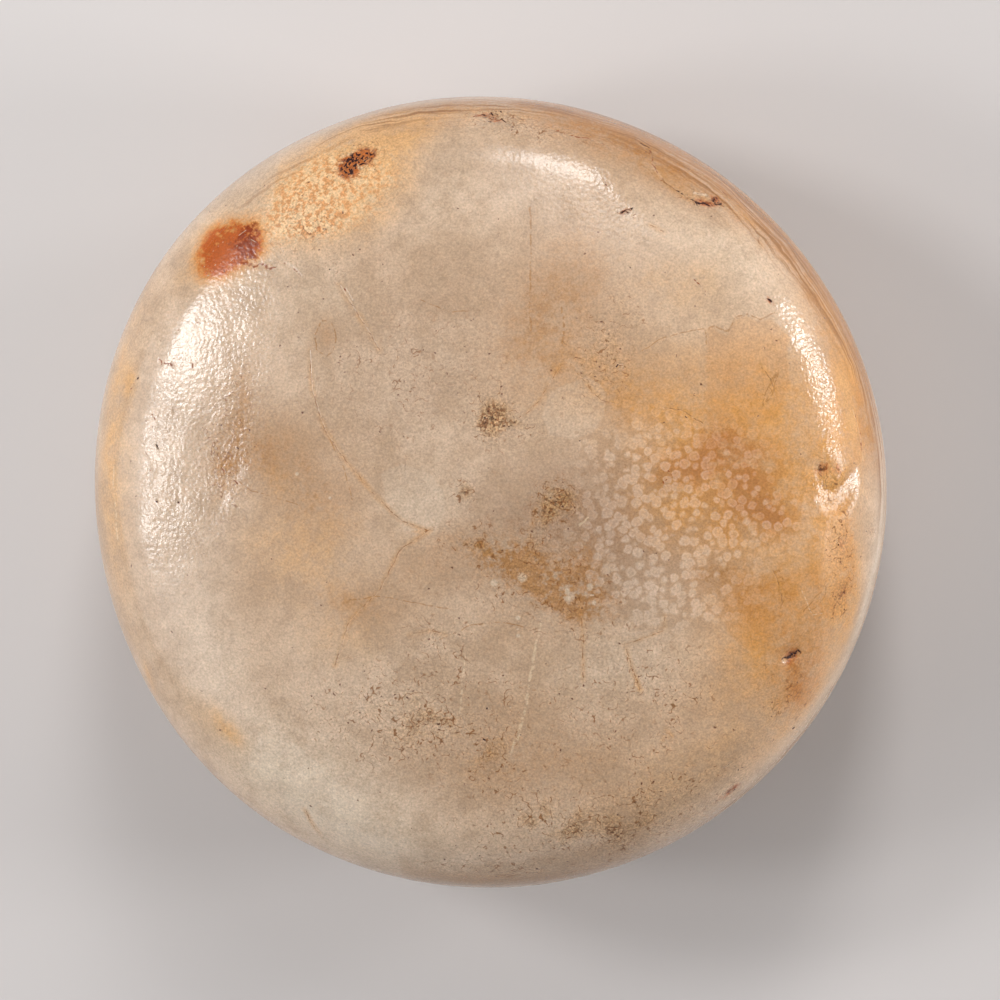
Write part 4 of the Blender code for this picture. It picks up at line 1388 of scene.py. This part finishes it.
# %% Relief
LEATHER_SIZE = 0.38  # mm, a little coarser than the real texture
PECK_HEIGHT = 0.014  # mm, where the stone is pecked
LEAST_HEIGHT = 0.001  # mm, everywhere
HOLE_DEPTH = 0.05  # mm
HOLLOW_REACH = 1.6  # half widths of a mark
MARK_DEPTHS = {"crack_offset": 0.015, "speck_and_pit_shade_offset": 0.05, "rust_offset": 0.02}  # mm
peck = add("Attribute", attribute_name="pecked")["Fac"]
peck_height = add("Math", {0: peck, 1: PECK_HEIGHT, 2: LEAST_HEIGHT}, operation="MULTIPLY_ADD")[0]
noise_of = {"Vector": mm, "Scale": 1 / LEATHER_SIZE, "Detail": 0.5, "Roughness": 0.6}
leather = add("TexNoise", noise_of, normalize=False)[0]
lumpy = add("Math", {0: grains, 1: 0.5, 2: leather}, operation="MULTIPLY_ADD")[0]
relief = add("Math", {0: lumpy, 1: peck_height}, operation="MULTIPLY")[0]
hollows = add("Math", {0: hole, 1: -HOLE_DEPTH}, operation="MULTIPLY")[0]
for name, depth in MARK_DEPTHS.items():
    offset = add("Attribute", attribute_name=name)["Vector"]
    length = add("VectorMath", {0: offset}, operation="LENGTH")[1]
    hollow = add("MapRange", {0: length, 1: 0.0, 2: HOLLOW_REACH, 3: -depth, 4: 0.0})[0]
    hollows = add("Math", {0: hollow, 1: hollows}, operation="ADD")[0]
relief = add("Math", {0: hollows, 1: relief}, operation="ADD")[0]
bump = add("Bump", {"Strength": 1.0, "Distance": MM, "Height": relief})[0]
print("relief of", PECK_HEIGHT, "mm where the stone is pecked")

# %% [markdown]
# ## Gloss
# Hand-ground chert is satin, near a roughness of 0.2. Dirt and crumbly places are duller. The hollows are
# made dull as well, so that no glint brightens a pit that has to look dark. A little light enters the stone
# and comes out again, and red goes deepest.

# %% Gloss and translucency
SATIN = 0.22
DIRT_DULLNESS = 0.25
CRUMBLY_DULLNESS = 0.3
HOLLOW_DULLNESS = 14.0  # for each millimetre of depth
CHERT_IOR = 1.54
LIGHT_DEPTH = 1.5 * MM
rough = add("Math", {0: grime, 1: DIRT_DULLNESS, 2: SATIN}, operation="MULTIPLY_ADD")[0]
dull = add("Attribute", attribute_name="dull")["Fac"]
rough = add("Math", {0: dull, 1: CRUMBLY_DULLNESS, 2: rough}, operation="MULTIPLY_ADD")[0]
deepened = {0: hollows, 1: -HOLLOW_DULLNESS, 2: rough}
rough = add("Math", deepened, operation="MULTIPLY_ADD", use_clamp=True)[0]
tree.links.new(colour, shader.inputs["Base Color"])
tree.links.new(rough, shader.inputs["Roughness"])
tree.links.new(bump, shader.inputs["Normal"])
shader.inputs["IOR"].default_value = CHERT_IOR
shader.inputs["Subsurface Weight"].default_value = 0.15
shader.inputs["Subsurface Scale"].default_value = LIGHT_DEPTH
shader.inputs["Subsurface Radius"].default_value = (1.0, 0.6, 0.35)
stone_mesh.materials.append(material)
print("nodes in the chert:", len(tree.nodes))

# %% [markdown]
# ## The floor
# A wide pale sheet of paper lies under the stone. It is a stage and no piece of the object. Matt paper gives
# a soft shadow and no reflection of its own.

# %% Floor
FLOOR_REACH = 2.0  # metres from its middle to each side
floor_mesh = bpy.data.meshes.new("floor")
board = bmesh.new()
bmesh.ops.create_grid(board, x_segments=1, y_segments=1, size=FLOOR_REACH)
board.to_mesh(floor_mesh)
board.free()
floor = bpy.data.objects.new("floor", floor_mesh)
bpy.context.scene.collection.objects.link(floor)
# Paper: matt and even, a shade warmer than grey
paper = bpy.data.materials.new("paper")
paper.use_nodes = True
paper_shader = paper.node_tree.nodes["Principled BSDF"]
paper_shader.inputs["Base Color"].default_value = linear("#cdc8c6")
paper_shader.inputs["Roughness"].default_value = 0.7
floor_mesh.materials.append(paper)
print("floor:", 2 * FLOOR_REACH, "m wide")

# %% [markdown]
# ## Softboxes
# On a glossy round thing the lights are seen as highlights, so their places matter more than their power.
# Each softbox stands where a ray from the camera, mirrored on the stone at a chosen pixel, runs off to, and
# its reflection shows there. Two large dim panels give the shoulders their sheen, six small bright ones
# give the highlights, and a low one fills in the lower side. The table gives each one's radiance, which is
# the brightness of its face, and its power grows with its area.

# %% Softboxes
SOFTBOX_DISTANCE = 0.6  # metres from the stone
Softbox = namedtuple("Softbox", "name pixel along_rim across_rim radiance")
SOFTBOXES = (
    Softbox("left_panel", (139, 465), 0.56, 0.50, 1.95),
    Softbox("right_panel", (840, 450), 0.50, 0.34, 1.5),
    Softbox("left_softbox", (182, 338), 0.13, 0.10, 25),
    Softbox("left_low_softbox", (160, 480), 0.11, 0.09, 20),
    Softbox("top_softbox", (572, 168), 0.15, 0.20, 14),
    Softbox("top_halo_softbox", (592, 196), 0.16, 0.10, 5),
    Softbox("right_softbox", (815, 364), 0.11, 0.14, 28),
    Softbox("chip_softbox", (838, 498), 0.13, 0.13, 26),
    Softbox("low_fill", (470, 862), 0.60, 0.30, 0.7),
)
for box in SOFTBOXES:
    place, normal = on_stone(*box.pixel)
    to_camera = (camera.matrix_world.translation - place).normalized()
    way = (normal * (2 * normal.dot(to_camera)) - to_camera).normalized()
    rim_way = Vector((-place.y, place.x, 0))
    side = (rim_way - way * rim_way.dot(way)).normalized()
    data = bpy.data.lights.new(box.name, "AREA")
    data.shape = "RECTANGLE"
    data.size = box.along_rim
    data.size_y = box.across_rim
    data.energy = box.radiance * math.pi * box.along_rim * box.across_rim
    light = bpy.data.objects.new(box.name, data)
    turned = Matrix((side, way.cross(side), way)).transposed().to_4x4()
    light.matrix_world = Matrix.Translation(place + way * SOFTBOX_DISTANCE) @ turned
    light.visible_camera = False
    bpy.context.scene.collection.objects.link(light)
    print(box.name, "stands", round(math.degrees(math.acos(way.z))), "degrees off upright")

# %% [markdown]
# ## The room
# A dim, even room fills the shadows a little. The Standard view keeps the colours as they are given, where
# others would mute them.

# %% Room
ROOM_TINT = (0.9, 0.9, 0.92, 1)
ROOM_STRENGTH = 0.2
world = bpy.data.worlds.new("world")
world.use_nodes = True
room = world.node_tree.nodes["Background"]
room.inputs["Color"].default_value = ROOM_TINT
room.inputs["Strength"].default_value = ROOM_STRENGTH
bpy.context.scene.world = world
bpy.context.scene.view_settings.view_transform = "Standard"
print("room light:", ROOM_STRENGTH)
